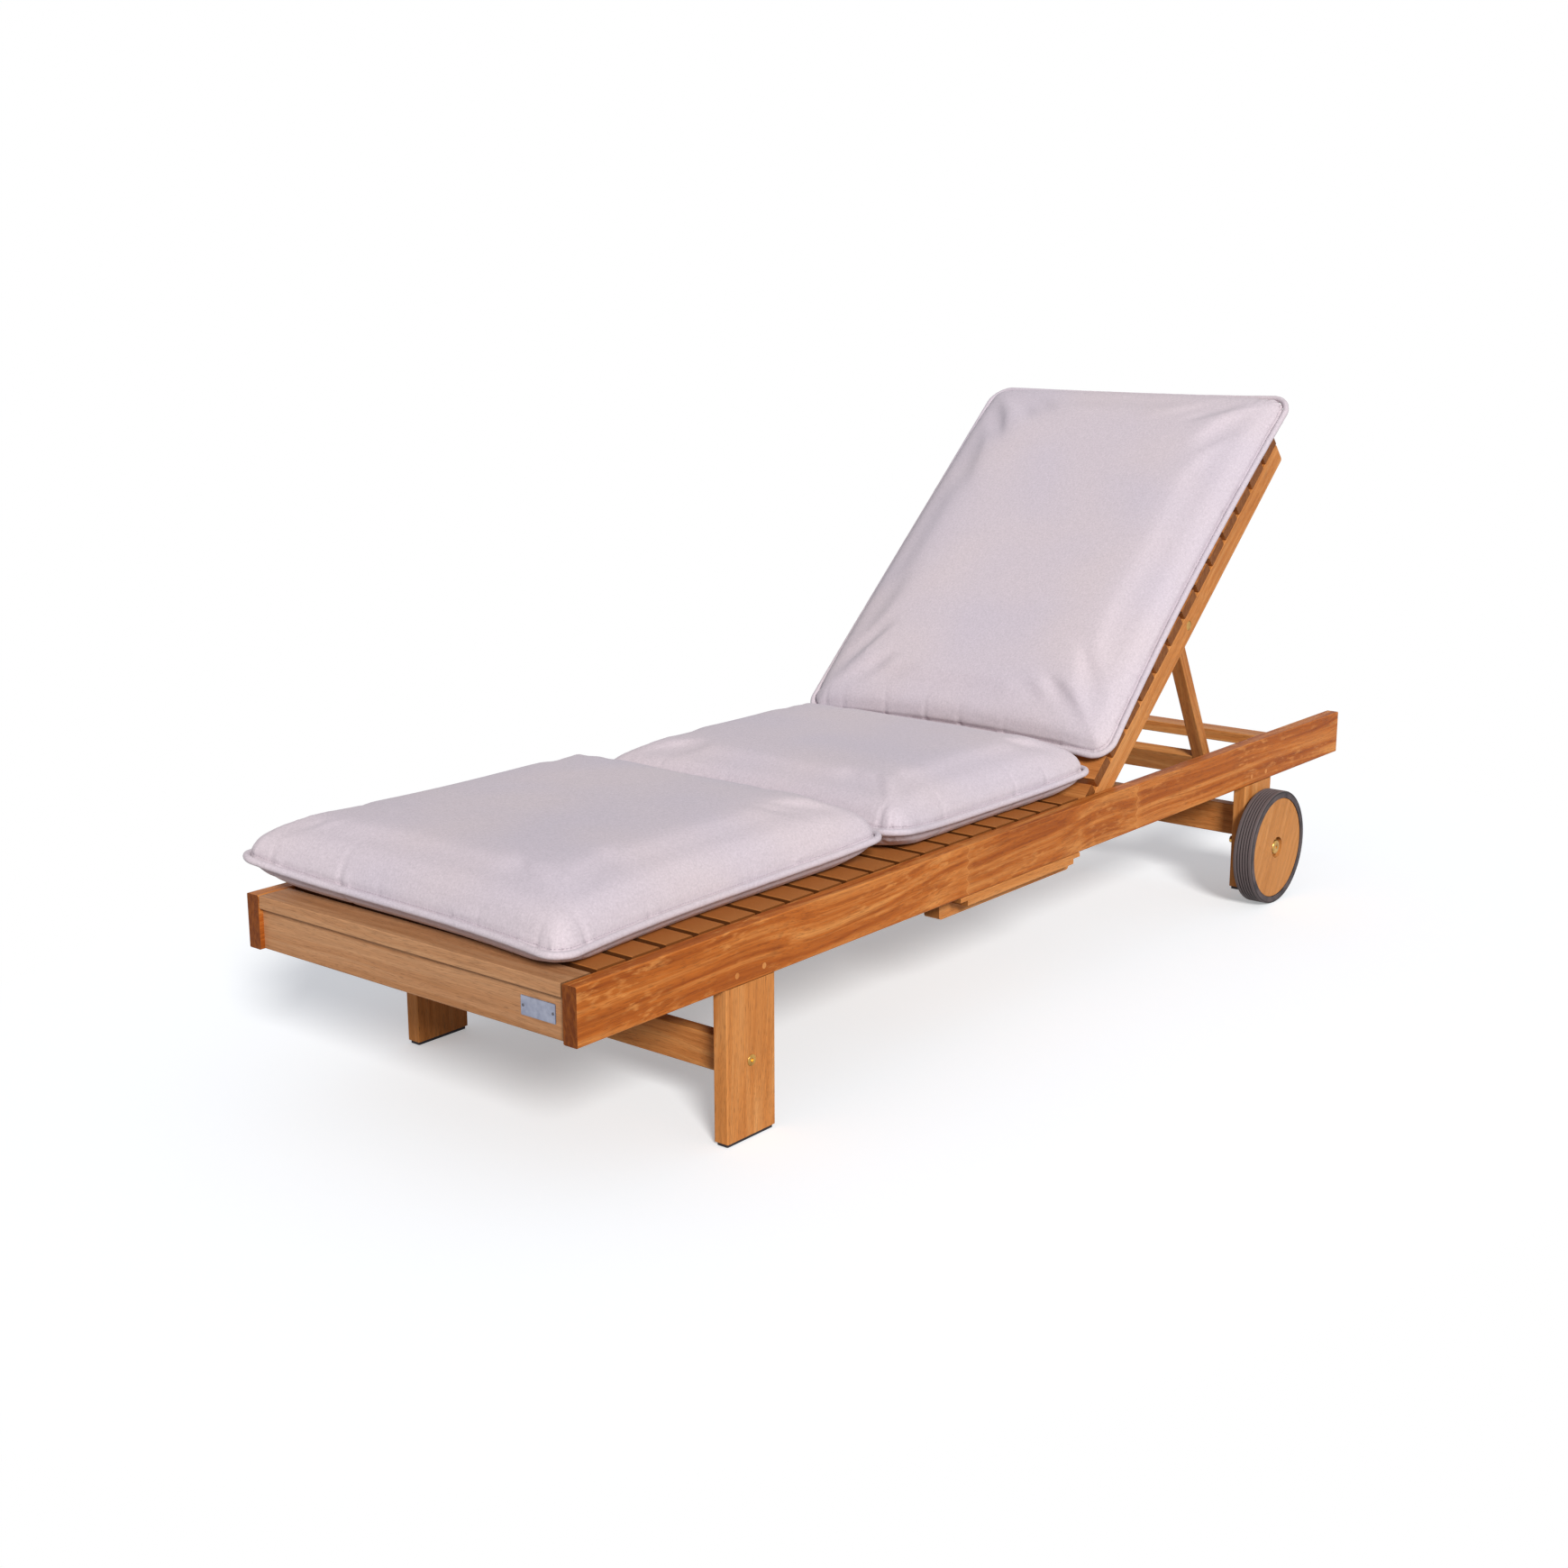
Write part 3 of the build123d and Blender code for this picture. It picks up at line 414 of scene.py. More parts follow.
timbers = {
    "near_rail": teak("NearRailTeak", rail_colours, seed=3.0, joint_at=(-0.2114, 0.2645), flecks=0.8),
    "far_rail": teak("FarRailTeak", rail_colours, seed=8.0, joint_at=(0.05,), flecks=0.6),
    "seat": teak("SeatSlatTeak", slat_colours, turn=across_turn, board=seat_board, seed=20.0),
    "back": teak("BackSlatTeak", slat_colours, turn=across_turn, board=back_board, seed=60.0),
    "brace": teak("BraceTeak", brace_colours, turn=across_turn, seed=81.0, lines=0.35),
    "apron": teak("ApronTeak", apron_colours, turn=across_turn, seed=90.0, lines=0.2, flecks=0.2),
    "leg": teak("LegTeak", pale_colours, turn=upright_turn, seed=101.0, lines=0.2, flecks=0.2),
    "stile": teak("StileTeak", pale_colours, turn=stile_turn, seed=111.0, lines=0.35),
    "prop": teak("PropTeak", brace_colours, turn=prop_turn, seed=121.0, lines=0.35),
    "disc": teak("DiscTeak", disc_colours, turn=disc_turn, seed=131.0, lines=0.12, flecks=0.2),
    "plug": teak("PlugTeak", pale_colours, turn=upright_turn, seed=151.0, lines=0.1, flecks=0.1),
    "tray": teak("TrayTeak", pale_colours, seed=161.0, lines=0.3),
    "plain": teak("PlainTeak", slat_colours, seed=141.0),
}
print("timbers:", ", ".join(timbers))

# %% [markdown]
# ## Brass and aluminium
# Brass fittings are bare and a little dulled, so their roughness and colour drift with a soft noise. The
# small plate on the apron is brushed: its long fine scratches run along Y and only tilt the surface.

# %% Metal
even_scratches = (400.0, 400.0, 400.0)
brushed_scratches = (3000.0, 20.0, 3000.0)
dullness_spread = 0.18


def metal(name, colour, dull, scratch_scales, smoothest):
    """Bare metal with a drifting dullness and fine scratches."""
    r = Recipe(name)
    place = r.add("TexCoord").outputs["Object"]
    drift = r.noise(place, (90.0, 90.0, 90.0), detail=3.0)
    scratch = r.noise(place, scratch_scales, detail=2.0)
    feeds = {
        "Base Color": r.mix(r.between(drift, 0.35, 0.75), colour, dull),
        "Metallic": 1.0,
        "Roughness": r.between(drift, 0.3, 0.7, smoothest, smoothest + dullness_spread),
        "Normal": r.bump(scratch, 0.12, 0.0001),
    }
    return r.finish(feeds)


brass = metal("Brass", screen(212, 166, 88), screen(150, 112, 58), even_scratches, 0.24)
aluminium = metal("PlateAluminium", screen(160, 163, 178), screen(134, 138, 156), brushed_scratches, 0.36)
pin_metal = metal("PinMetal", screen(104, 102, 108), screen(76, 74, 80), even_scratches, 0.4)
print("metals:", brass.name, aluminium.name, pin_metal.name)

# %% [markdown]
# ## Rubber
# The tyres and pads are moulded rubber, nearly black with a grey bloom. On a tyre the crests of the tread
# are grey, partly rubbed bloom and partly painted highlight, and the grooves between them are painted near
# black as shade. The distance from the axle tells which is which.

# %% Rubber
groove_depth = 0.002


def rubber(name, colour, bloom, axle=None, radius=0.0):
    """Moulded rubber with a grey bloom, a fine pebble and, round an axle, grey crests with painted highlight
    and grooves with painted shade.
    """
    r = Recipe(name)
    place = r.add("TexCoord").outputs["Object"]
    cloud = r.noise(place, (45.0, 45.0, 45.0), detail=4.0)
    pebble = r.noise(place, (1500.0, 1500.0, 1500.0), detail=1.0)
    tone = r.mix(r.between(cloud, 0.35, 0.70), colour, bloom)
    if axle:
        spoke = r.vector("MULTIPLY", r.vector("SUBTRACT", place, tuple(axle)), (1.0, 0.0, 1.0))
        away = r.add("VectorMath", {0: spoke}, operation="LENGTH").outputs["Value"]
        # painted highlight with the bloom on the crests, and painted shade near black in the grooves
        rubbed_and_lit_crest = r.between(away, radius - groove_depth, radius - 0.2 * groove_depth)
        outside = r.between(away, radius - 2 * groove_depth, radius - groove_depth)
        tone = r.mix(outside, tone, r.mix(rubbed_and_lit_crest, darker(colour, 0.12), bloom))
    feeds = {
        "Base Color": tone,
        "Roughness": r.between(cloud, 0.3, 0.7, 0.55, 0.75),
        "Specular IOR Level": 0.3,
        "Normal": r.bump(pebble, 0.25, 0.0002),
    }
    return r.finish(feeds)


tyre_low, tyre_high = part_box("left_tyre")
tyre_radius = (tyre_high.z - tyre_low.z) / 2
axle_place = ((tyre_low.x + tyre_high.x) / 2, 0.0, (tyre_low.z + tyre_high.z) / 2)
tyre_rubber = rubber("TyreRubber", screen(42, 36, 40), screen(96, 85, 85), axle_place, tyre_radius)
pad_rubber = rubber("PadRubber", screen(30, 26, 28), screen(52, 46, 50))
print("tyre radius:", round(tyre_radius, 4), "axle at:", [round(v, 4) for v in axle_place])

# %% [markdown]
# ## Which node gets which finish
# A node's name says what it is, so a short table of name parts is enough. The first part that fits wins.

# %% Finishes by name
finishes = (
    ("tyre", tyre_rubber),
    ("pad", pad_rubber),
    ("bolt", brass),
    ("nut", brass),
    ("bush", brass),
    ("spacer", brass),
    ("washer", brass),
    ("wheel_disc", timbers["disc"]),
    ("dowel", timbers["plug"]),
    ("seat_slats", timbers["seat"]),
    ("back_slats", timbers["back"]),
    ("apron", timbers["apron"]),
    ("cap_slat", timbers["apron"]),
    ("leg", timbers["leg"]),
    ("left_rail", timbers["near_rail"]),
    ("right_rail", timbers["far_rail"]),
    ("stile", timbers["stile"]),
    ("prop_arm", timbers["prop"]),
    ("stretcher", timbers["brace"]),
    ("crossbar", timbers["brace"]),
    ("foot_bar", timbers["brace"]),
    ("tray", timbers["tray"]),
    ("", timbers["plain"]),
)


def dress(piece, material):
    """Gives a piece one material."""
    piece.data.materials.clear()
    piece.data.materials.append(material)
    return piece


for name, piece in nodes.items():
    dress(piece, next(material for part, material in finishes if part in name))

# %% [markdown]
# ## Cushion cloth
# The covers are a plain weave of pale lilac-grey yarn. Threads a millimetre apart are counted along the two
# directions of the cloth, one thread lies over the other by turns, and each thread thickens and pales by
# short lengths, which makes the cloth look heathered. Painted shade darkens the valleys between the threads.
# The cloth carries its own map, in metres, so that the threads stay on it where it bulges.

# %% Cloth recipe
thread_pitch = 0.0010
slub_length = 0.009
yarn_jump = 7.31
heather_scale = 330.0


def yarn(r, number, run):
    """The tone of one thread at a place along it."""
    place = r.add("CombineXYZ", {"X": r.maths("MULTIPLY", number, yarn_jump), "Y": run}).outputs["Vector"]
    return r.noise(place, (1.0, 1.0, 1.0), detail=2.0)


def cloth(name, colour, cool):
    """Plain-woven cloth on the map called weave."""
    r = Recipe(name)
    spot = r.add("UVMap", uv_map="weave").outputs["UV"]
    u, v = r.split(r.vector("MULTIPLY", spot, (1 / thread_pitch, 1 / thread_pitch, 0.0)))[:2]
    warp_number, weft_number = r.maths("FLOOR", u), r.maths("FLOOR", v)
    over = r.maths("PINGPONG", r.maths("ADD", warp_number, weft_number), 1.0)
    under = r.maths("SUBTRACT", 1.0, over)
    warp = r.maths("ABSOLUTE", r.maths("SINE", r.maths("MULTIPLY", u, pi)))
    weft = r.maths("ABSOLUTE", r.maths("SINE", r.maths("MULTIPLY", v, pi)))
    slub = thread_pitch / slub_length
    warp_tone = yarn(r, warp_number, r.maths("MULTIPLY", v, slub))
    weft_tone = yarn(r, r.maths("ADD", weft_number, 0.5), r.maths("MULTIPLY", u, slub))
    ridge = r.maths("ADD", r.maths("MULTIPLY", over, warp), r.maths("MULTIPLY", under, weft))
    tone = r.maths("ADD", r.maths("MULTIPLY", over, warp_tone), r.maths("MULTIPLY", under, weft_tone))
    place = r.add("TexCoord").outputs["Object"]
    heather = r.noise(place, (heather_scale, heather_scale, heather_scale), detail=2.0)
    yarn_shade = r.between(tone, 0.25, 0.75, 0.90, 1.07)
    heather_shade = r.between(heather, 0.3, 0.7, 0.93, 1.07)
    # painted shade: the valleys between the upper threads are darkened
    thread_valley_painted_shade = r.between(ridge, 0.0, 0.6, 0.90, 1.02)
    shade = r.maths("MULTIPLY", r.maths("MULTIPLY", yarn_shade, heather_shade), thread_valley_painted_shade)
    drift = r.noise(place, (5.0, 5.0, 5.0), detail=1.0)
    feeds = {
        "Base Color": r.shaded(r.mix(r.between(drift, 0.35, 0.65), colour, cool), shade),
        "Roughness": 0.92,
        "Specular IOR Level": 0.25,
        "Sheen Weight": 0.12,
        "Sheen Roughness": 0.5,
        "Normal": r.bump(ridge, 0.35, 0.0003),
    }
    return r.finish(feeds)


cover_cloth = cloth("CushionCloth", screen(206, 193, 197), screen(201, 190, 198))
print("cloth:", cover_cloth.name, "threads every", thread_pitch)

# %% [markdown]
# ## Thread
# The covers are sewn with a darker thread. It is too thin for a weave, but its twist shows as a fine ripple,
# which a small noise gives.

# %% Thread recipe


def thread(name, colour):
    """Twisted sewing thread."""
    r = Recipe(name)
    place = r.add("TexCoord").outputs["Object"]
    twist = r.noise(place, (900.0, 900.0, 900.0), detail=1.0)
    feeds = {
        "Base Color": r.shaded(colour, r.between(twist, 0.3, 0.7, 0.85, 1.1)),
        "Roughness": 0.8,
        "Normal": r.bump(twist, 0.3, 0.0002),
    }
    return r.finish(feeds)


seam_thread = thread("SeamThread", screen(178, 165, 174))
print("thread:", seam_thread.name)

# %% [markdown]
# ## A cushion's shape
# Each cushion is a top and a bottom panel of cloth, filled, so it is crowned, its sides are drawn in between
# its corners, and it is flat only where it lies on the slats. The solid model already holds its outline and
# its place. A copy is remeshed to even cells and given full sides, its corners are lifted off the slats as
# in use, and a short cloth simulation under pressure gives the slack and tension of sewn cloth.

# %% Working with meshes
merge_distance = 1e-5


def baked(piece):
    """Applies a piece's modifiers to its mesh."""
    graph = bpy.context.evaluated_depsgraph_get()
    done = piece.evaluated_get(graph)
    mesh = bpy.data.meshes.new_from_object(done, preserve_all_data_layers=True, depsgraph=graph)
    piece.modifiers.clear()
    piece.data = mesh
    return piece


def points_of(mesh):
    """A mesh's points as rows of numbers."""
    flat = np.zeros(len(mesh.vertices) * 3)
    mesh.vertices.foreach_get("co", flat)
    return flat.reshape(-1, 3)


def set_points(mesh, points):
    """Moves a mesh's points."""
    mesh.vertices.foreach_set("co", points.ravel())
    mesh.update()


def shown(name, mesh):
    """A new object in the scene."""
    piece = bpy.data.objects.new(name, mesh)
    bpy.context.scene.collection.objects.link(piece)
    return piece


def copy_of_solid(node, place):
    """A node's mesh, merged to one closed skin, in the frame where the cushion lies flat."""
    work = bmesh.new()
    work.from_mesh(nodes[node].data)
    bmesh.ops.remove_doubles(work, verts=work.verts, dist=merge_distance)
    work.transform(place.inverted())
    mesh = bpy.data.meshes.new(node + "_flat")
    work.to_mesh(mesh)
    work.free()
    return mesh


print("mesh helpers ready")

# %% [markdown]
# ### The rim
# The cover's rolled edge runs round the widest level of the form. Cutting the solid just above that level
# gives its outline, which is put in order and divided evenly. Every later step asks how far a point is from
# this line, so the rim keeps its outward directions and a search tree with it.

# %% Rim
rim_level_share = 0.275
rim_step = 0.004


def outline_at(mesh, height):
    """The outline of a mesh at a height, anticlockwise and evenly divided."""
    work = bmesh.new()
    work.from_mesh(mesh)
    everything = work.verts[:] + work.edges[:] + work.faces[:]
    cut = {"plane_co": (0, 0, height), "plane_no": (0, 0, 1), "clear_inner": True, "clear_outer": True}
    bmesh.ops.bisect_plane(work, geom=everything, **cut)
    start = work.verts[:][0]
    loop, before, here = [start.co.copy()], None, start
    while True:
        before = next(edge for edge in here.link_edges if edge is not before)
        here = before.other_vert(here)
        if here is start:
            break
        loop.append(here.co.copy())
    work.free()
    ring = np.array(loop)
    turned = np.roll(ring, -1, axis=0)
    if np.sum(ring[:, 0] * turned[:, 1] - turned[:, 0] * ring[:, 1]) < 0:
        ring = ring[::-1]
    closed = np.vstack([ring, ring[:1]])
    run = np.concatenate([[0], np.cumsum(np.linalg.norm(np.diff(closed, axis=0), axis=1))])
    steps = np.linspace(0, run[-1], int(run[-1] / rim_step), endpoint=False)
    return np.stack([np.interp(steps, run, closed[:, i]) for i in range(3)], axis=1)


class Rim:
    """A closed line with its outward directions and a search tree."""

    def __init__(self, ring):
        self.ring = ring
        ahead = np.roll(ring, -1, axis=0) - np.roll(ring, 1, axis=0)
        out = np.cross(ahead, (0, 0, 1.0))
        self.out = out / np.linalg.norm(out, axis=1)[:, None]
        self.tree = KDTree(len(ring))
        for number, point in enumerate(ring):
            self.tree.insert(point, number)
        self.tree.balance()

    def nearest(self, points):
        """For each point, the nearest step of the line and how far it is."""
        found = [self.tree.find(point) for point in points]
        return np.array([row[1] for row in found]), np.array([row[2] for row in found])


print("rim steps of", rim_step)

# %% [markdown]
# ### Lifted corners
# The corners of a filled cushion stand off the slats. Each lift is a real height at one corner, with how far
# the corner reaches out, and both fade along the sides. A 0 for the end or the side stands for the middle of
# that side. Where a corner sinks instead, the underside still stops at the slats.

# %% Lifts
lift_sharpness = 5.0


def fade(side, place):
    """Grows towards one side, or towards the middle where the side is 0."""
    return ((1 + side * place) / 2) ** lift_sharpness if side else 1 - place**2


def lifted(points, middle, half, lifts):
    """Points of a cushion with its corners and sides moved; the lifts are given by end and side."""
    moved = points.copy()
    along = np.clip((points[:, 0] - middle[0]) / half[0], -1, 1)
    over = np.clip((points[:, 1] - middle[1]) / half[1], -1, 1)
    for (end, side), (height, reach) in lifts.items():
        share = fade(end, along) * fade(side, over)
        moved += share[:, None] * (end * reach, side * reach, height)
    moved[:, 2] = np.maximum(moved[:, 2], middle[2] - half[2])
    return moved


print("lifts fade with the power", lift_sharpness)

# %% [markdown]
# ### The simulation
# Cloth under inner pressure swells, so the crown starts a little lower. The rim and the underside are held
# firmly and the sides below the rim softly, gravity is off, twenty frames are enough, and no point may move
# further than the cap.

# %% Simulation
cell = 0.006
firm_hold = 1.0
soft_hold = 0.6
swell_cap = 0.007
swell_frames = 20
cover_settings = {
    "quality": 4,
    "mass": 0.25,
    "tension_stiffness": 18,
    "compression_stiffness": 12,
    "shear_stiffness": 6,
    "bending_stiffness": 1.5,
    "use_pressure": True,
    "uniform_pressure_force": 4.0,
    "vertex_group_mass": "held",
}


def swollen(piece, held):
    """Runs the cloth simulation on a piece and keeps its result."""
    before = points_of(piece.data)
    group = piece.vertex_groups.new(name="held")
    for share in (firm_hold, soft_hold):
        chosen = [int(i) for i in np.nonzero(held == share)[0]]
        group.add(chosen, share, "REPLACE")
    settings = piece.modifiers.new("Swell", "CLOTH").settings
    for key, value in cover_settings.items():
        setattr(settings, key, value)
    settings.effector_weights.gravity = 0
    for number in range(1, swell_frames + 1):
        bpy.context.scene.frame_set(number)
    after = points_of(piece.evaluated_get(bpy.context.evaluated_depsgraph_get()).data)
    piece.modifiers.clear()
    piece.vertex_groups.clear()
    bpy.context.scene.frame_set(1)
    moved = after - before
    reach = np.linalg.norm(moved, axis=1)
    limit = np.minimum(1.0, swell_cap / np.maximum(reach, 1e-9))
    set_points(piece.data, before + moved * limit[:, None])
    return round(float(reach.max()), 4), round(float(reach.mean()), 4)


print("cells of", cell, "cap of", swell_cap)

# %% [markdown]
# ### Smoothing the crown
# The solid's crown is built from a few levels, whose edges would show as faint lines in cloth. A Smooth
# modifier with a weight that grows above the rim melts them together and leaves the rim as it is. A vertex
# group takes one weight at a call, so the weight grows in steps.

# %% Smoothing
crown_fade = 0.012
weight_steps = 10


def eased(piece, height, rounds):
    """Smooths a piece above a height."""
    points = points_of(piece.data)
    share = np.clip((points[:, 2] - height) / crown_fade, 0, 1)
    group = piece.vertex_groups.new(name="crown")
    for level in range(1, weight_steps + 1):
        chosen = np.nonzero((share > (level - 1) / weight_steps) & (share <= level / weight_steps))[0]
        group.add([int(i) for i in chosen], level / weight_steps, "REPLACE")
    smooth = piece.modifiers.new("Ease", "SMOOTH")
    smooth.factor = 0.5
    smooth.iterations = rounds
    smooth.vertex_group = "crown"
    baked(piece)
    piece.vertex_groups.clear()
    return piece


print("smoothing grows over", crown_fade)

# %% [markdown]
# ### Map of the weave
# The cloth's threads follow its map. Each face takes the two directions that it faces least, in metres,
# before the cloth swells. A face that looks partly up counts as part of the top or bottom panel.

# %% Weave map
panel_preference = 1.6


def map_weave(mesh):
    """Lays a map in metres on a mesh, by the way each face looks."""
    count = len(mesh.polygons)
    normals = np.zeros(count * 3)
    mesh.polygons.foreach_get("normal", normals)
    normals = np.abs(normals.reshape(-1, 3)) * (1.0, 1.0, panel_preference)
    widest = np.argmax(normals, axis=1)
    totals = np.zeros(count, int)
    mesh.polygons.foreach_get("loop_total", totals)
    face_of_loop = np.repeat(np.arange(count), totals)
    corner = np.zeros(len(mesh.loops), int)
    mesh.loops.foreach_get("vertex_index", corner)
    points = points_of(mesh)[corner]
    pairs = np.array(((1, 2), (0, 2), (0, 1)))[widest[face_of_loop]]
    rows = np.arange(len(corner))
    flat = np.stack([points[rows, pairs[:, 0]], points[rows, pairs[:, 1]]], axis=1)
    layer = mesh.uv_layers.get("weave") or mesh.uv_layers.new(name="weave")
    layer.data.foreach_set("uv", flat.ravel())


print("weave map ready")

# %% [markdown]
# ### Gathers
# Where the two panels are sewn, the cloth is drawn into short creases square to the rim: few and faint along
# the sides, and close and deeper round the corners. Each crease is a narrow furrow that fades away from the
# rim. Just inside the rolled edge the stitching pulls a valley all the way round.

# %% Gathers
crease_width = 0.0044
crease_reach = 0.018
side_crease_spacing = 0.085
side_crease_depth = 0.0032
corner_crease_spacing = 0.015
corner_crease_depth = 0.0044
corner_stretch = 0.085
depth_spread = (0.1, 1.0)
reach_spread = (0.5, 1.8)
spacing_spread = (0.5, 1.5)
crease_field = 4 * crease_reach
valley_place = 0.0070
valley_width = 0.0030
valley_depth = 0.0024


def creases(ring, corners, chance):
    """Place along the rim, depth and reach of each crease."""
    length = len(ring) * rim_step
    rows = []
    place = 0.0
    while place < length:
        point = ring[int(place / rim_step) % len(ring)]
        near = min(np.linalg.norm(point[:2] - corner) for corner in corners)
        share = max(0.0, 1 - near / corner_stretch)
        depth = side_crease_depth + (corner_crease_depth - side_crease_depth) * share
        depth *= chance.uniform(*depth_spread)
        rows.append((place, depth, crease_reach * chance.uniform(*reach_spread)))
        spacing = side_crease_spacing + (corner_crease_spacing - side_crease_spacing) * share**0.5
        place += spacing * chance.uniform(*spacing_spread)
    return np.array(rows)


def gather(mesh, seam, rows):
    """Presses the creases and the valley of the stitching into a mesh."""
    points = points_of(mesh)
    index, distance = seam.nearest(points)
    normals = np.zeros(len(points) * 3)
    mesh.vertices.foreach_get("normal", normals)
    normals = normals.reshape(-1, 3)
    places, depths, reaches = rows.T
    press = valley_depth * np.exp(-(((distance - valley_place) / valley_width) ** 2))
    press[points[:, 2] < seam.ring[index, 2]] = 0
    near = np.nonzero(distance < crease_field)[0]
    length = len(seam.ring) * rim_step
    away = np.abs(index[near, None] * rim_step - places[None, :])
    away = np.minimum(away, length - away)
    furrow = depths * np.exp(-((away / crease_width) ** 2)) * np.exp(-distance[near, None] / reaches)
    press[near] += furrow.sum(axis=1)
    set_points(mesh, points - normals * press[:, None])


print("creases", crease_width, "wide")

# %% [markdown]
# ## Rolled edge and stitches
# The edge of the cover is rolled over a cord and sewn with a row of stitches just inside it. Both follow one
# line, so Geometry Nodes make them: one tree sweeps a circle along the line, with a little unevenness, and
# another sets a small capsule at every pitch, turned along the line. A loop in Python could do it too, but a
# tree with named inputs is easier to adjust and keeps the circle and the capsule as plain inputs.

# %% Helper for Geometry Nodes


class Growth(NodeTree):
    """A Geometry Nodes tree with named inputs for its sizes."""

    prefix = "GeometryNode"

    def __init__(self, name, sizes):
        super().__init__(bpy.data.node_groups.new(name, "GeometryNodeTree"))
        sockets = self.tree.interface
        sockets.new_socket("Geometry", in_out="INPUT", socket_type="NodeSocketGeometry")
        for label in sizes:
            sockets.new_socket(label, in_out="INPUT", socket_type="NodeSocketFloat")
        sockets.new_socket("Geometry", in_out="OUTPUT", socket_type="NodeSocketGeometry")
        self.given = self.add("NodeGroupInput").outputs

    def end(self, geometry, material):
        """Realises the geometry, gives it its material and ends the tree."""
        real = self.add("RealizeInstances", {"Geometry": geometry}).outputs[0]
        done = self.add("SetMaterial", {"Geometry": real, "Material": material}).outputs[0]
        self.add("NodeGroupOutput", {"Geometry": done})
        return self

    def run(self, piece, sizes):
        """Runs the tree on a piece with its sizes and keeps the result as a plain mesh."""
        modifier = piece.modifiers.new(self.tree.name, "NODES")
        modifier.node_group = self.tree
        for item in self.tree.interface.items_tree:
            if item.name in sizes:
                modifier[item.identifier] = float(sizes[item.name])
        return baked(piece)


print("Geometry Nodes helper ready")

# %% [markdown]
# ### The two trees
# The roll's tree turns the line's mesh into a curve, scales a circle along it by a noise, and sweeps it. The
# stitch tree divides the line by the pitch and sets a capsule of two dozen faces at each point.

# %% Trees of the edge
roll_sides = 14
roll_wave_scale = 55.0
stitch_segments = 6
stitch_rings = 4


def rolled_edge_tree(material):
    """A tube along a line, of uneven thickness."""
    g = Growth("RolledEdge", ("Radius", "Unevenness", "Seed"))
    line = g.add("MeshToCurve", {"Mesh": g.given["Geometry"]}).outputs[0]
    feeds = {"W": g.given["Seed"], "Scale": roll_wave_scale, "Detail": 1.0}
    wave = g.add("ShaderNodeTexNoise", feeds, noise_dimensions="4D").outputs[0]
    swing = g.add("ShaderNodeMath", {0: wave, 1: 0.5}, operation="SUBTRACT").outputs[0]
    swing = g.add("ShaderNodeMath", {0: swing, 1: g.given["Unevenness"]}, operation="MULTIPLY").outputs[0]
    scale = g.add("ShaderNodeMath", {0: swing, 1: 1.0}, operation="ADD").outputs[0]
    feeds = {"Resolution": roll_sides, "Radius": g.given["Radius"]}
    circle = g.add("CurvePrimitiveCircle", feeds).outputs[0]
    swept = g.add("CurveToMesh", {"Curve": line, "Profile Curve": circle, "Scale": scale}).outputs[0]
    return g.end(g.add("SetShadeSmooth", {"Geometry": swept}).outputs[0], material)


def stitch_tree(material):
    """A row of stitches along a line."""
    g = Growth("Stitches", ("Pitch", "Length", "Thickness"))
    line = g.add("MeshToCurve", {"Mesh": g.given["Geometry"]}).outputs[0]
    marks = g.add("ResampleCurve", {"Curve": line, "Length": g.given["Pitch"]}, mode="LENGTH").outputs[0]
    ahead = g.add("InputTangent").outputs[0]
    turn = g.add("FunctionNodeAlignRotationToVector", {"Vector": ahead}, axis="X").outputs[0]
    feeds = {"Segments": stitch_segments, "Rings": stitch_rings, "Radius": 0.5}
    capsule = g.add("MeshUVSphere", feeds).outputs[0]
    sizes = {"X": g.given["Length"], "Y": g.given["Thickness"], "Z": g.given["Thickness"]}
    scale = g.add("ShaderNodeCombineXYZ", sizes).outputs[0]
    feeds = {"Points": marks, "Instance": capsule, "Rotation": turn, "Scale": scale}
    row = g.add("InstanceOnPoints", feeds).outputs[0]
    return g.end(g.add("SetShadeSmooth", {"Geometry": row}).outputs[0], material)


edge_growth = rolled_edge_tree(cover_cloth)
stitch_growth = stitch_tree(seam_thread)
print("trees:", edge_growth.tree.name, stitch_growth.tree.name)

# %% [markdown]
# ### Using the trees
# A line goes in as a mesh of edges. The roll comes out in rings of a known number of points, so its cloth
# map follows from the numbers of its points: the ring gives the way along, the place in it the way round.

# %% Edge pieces
roll_radius = 0.0050
roll_unevenness = 0.16
stitch_pitch = 0.0048
stitch_length = 0.0038
stitch_thickness = 0.0009


def line_piece(name, ring):
    """A closed line as a mesh of edges."""
    mesh = bpy.data.meshes.new(name)
    count = len(ring)
    mesh.from_pydata(ring.tolist(), [(i, (i + 1) % count) for i in range(count)], [])
    return shown(name, mesh)


def map_roll(mesh):
    """Lays the weave on a roll, in metres along it and round it."""
    corner = np.zeros(len(mesh.loops), int)
    mesh.loops.foreach_get("vertex_index", corner)
    faces = corner.reshape(-1, 4)
    rings, places = faces // roll_sides, faces % roll_sides
    rings = np.where((rings == 0) & (rings.max(axis=1)[:, None] > 1), rings.max() + 1, rings)
    places = np.where((places == 0) & (places.max(axis=1)[:, None] > 1), roll_sides, places)
    flat = np.stack([rings * rim_step, places * 2 * pi * roll_radius / roll_sides], axis=2)
    layer = mesh.uv_layers.new(name="weave")
    layer.data.foreach_set("uv", flat.ravel())


def edge_roll(name, ring, seed):
    """The rolled edge along a line."""
    piece = line_piece(name, ring)
    edge_growth.run(piece, {"Radius": roll_radius, "Unevenness": roll_unevenness, "Seed": seed})
    map_roll(piece.data)
    return piece


def stitch_row(name, ring):
    """The stitches along a line."""
    piece = line_piece(name, ring)
    sizes = {"Pitch": stitch_pitch, "Length": stitch_length, "Thickness": stitch_thickness}
    return stitch_growth.run(piece, sizes)


print("roll radius:", roll_radius, "stitch pitch:", stitch_pitch)

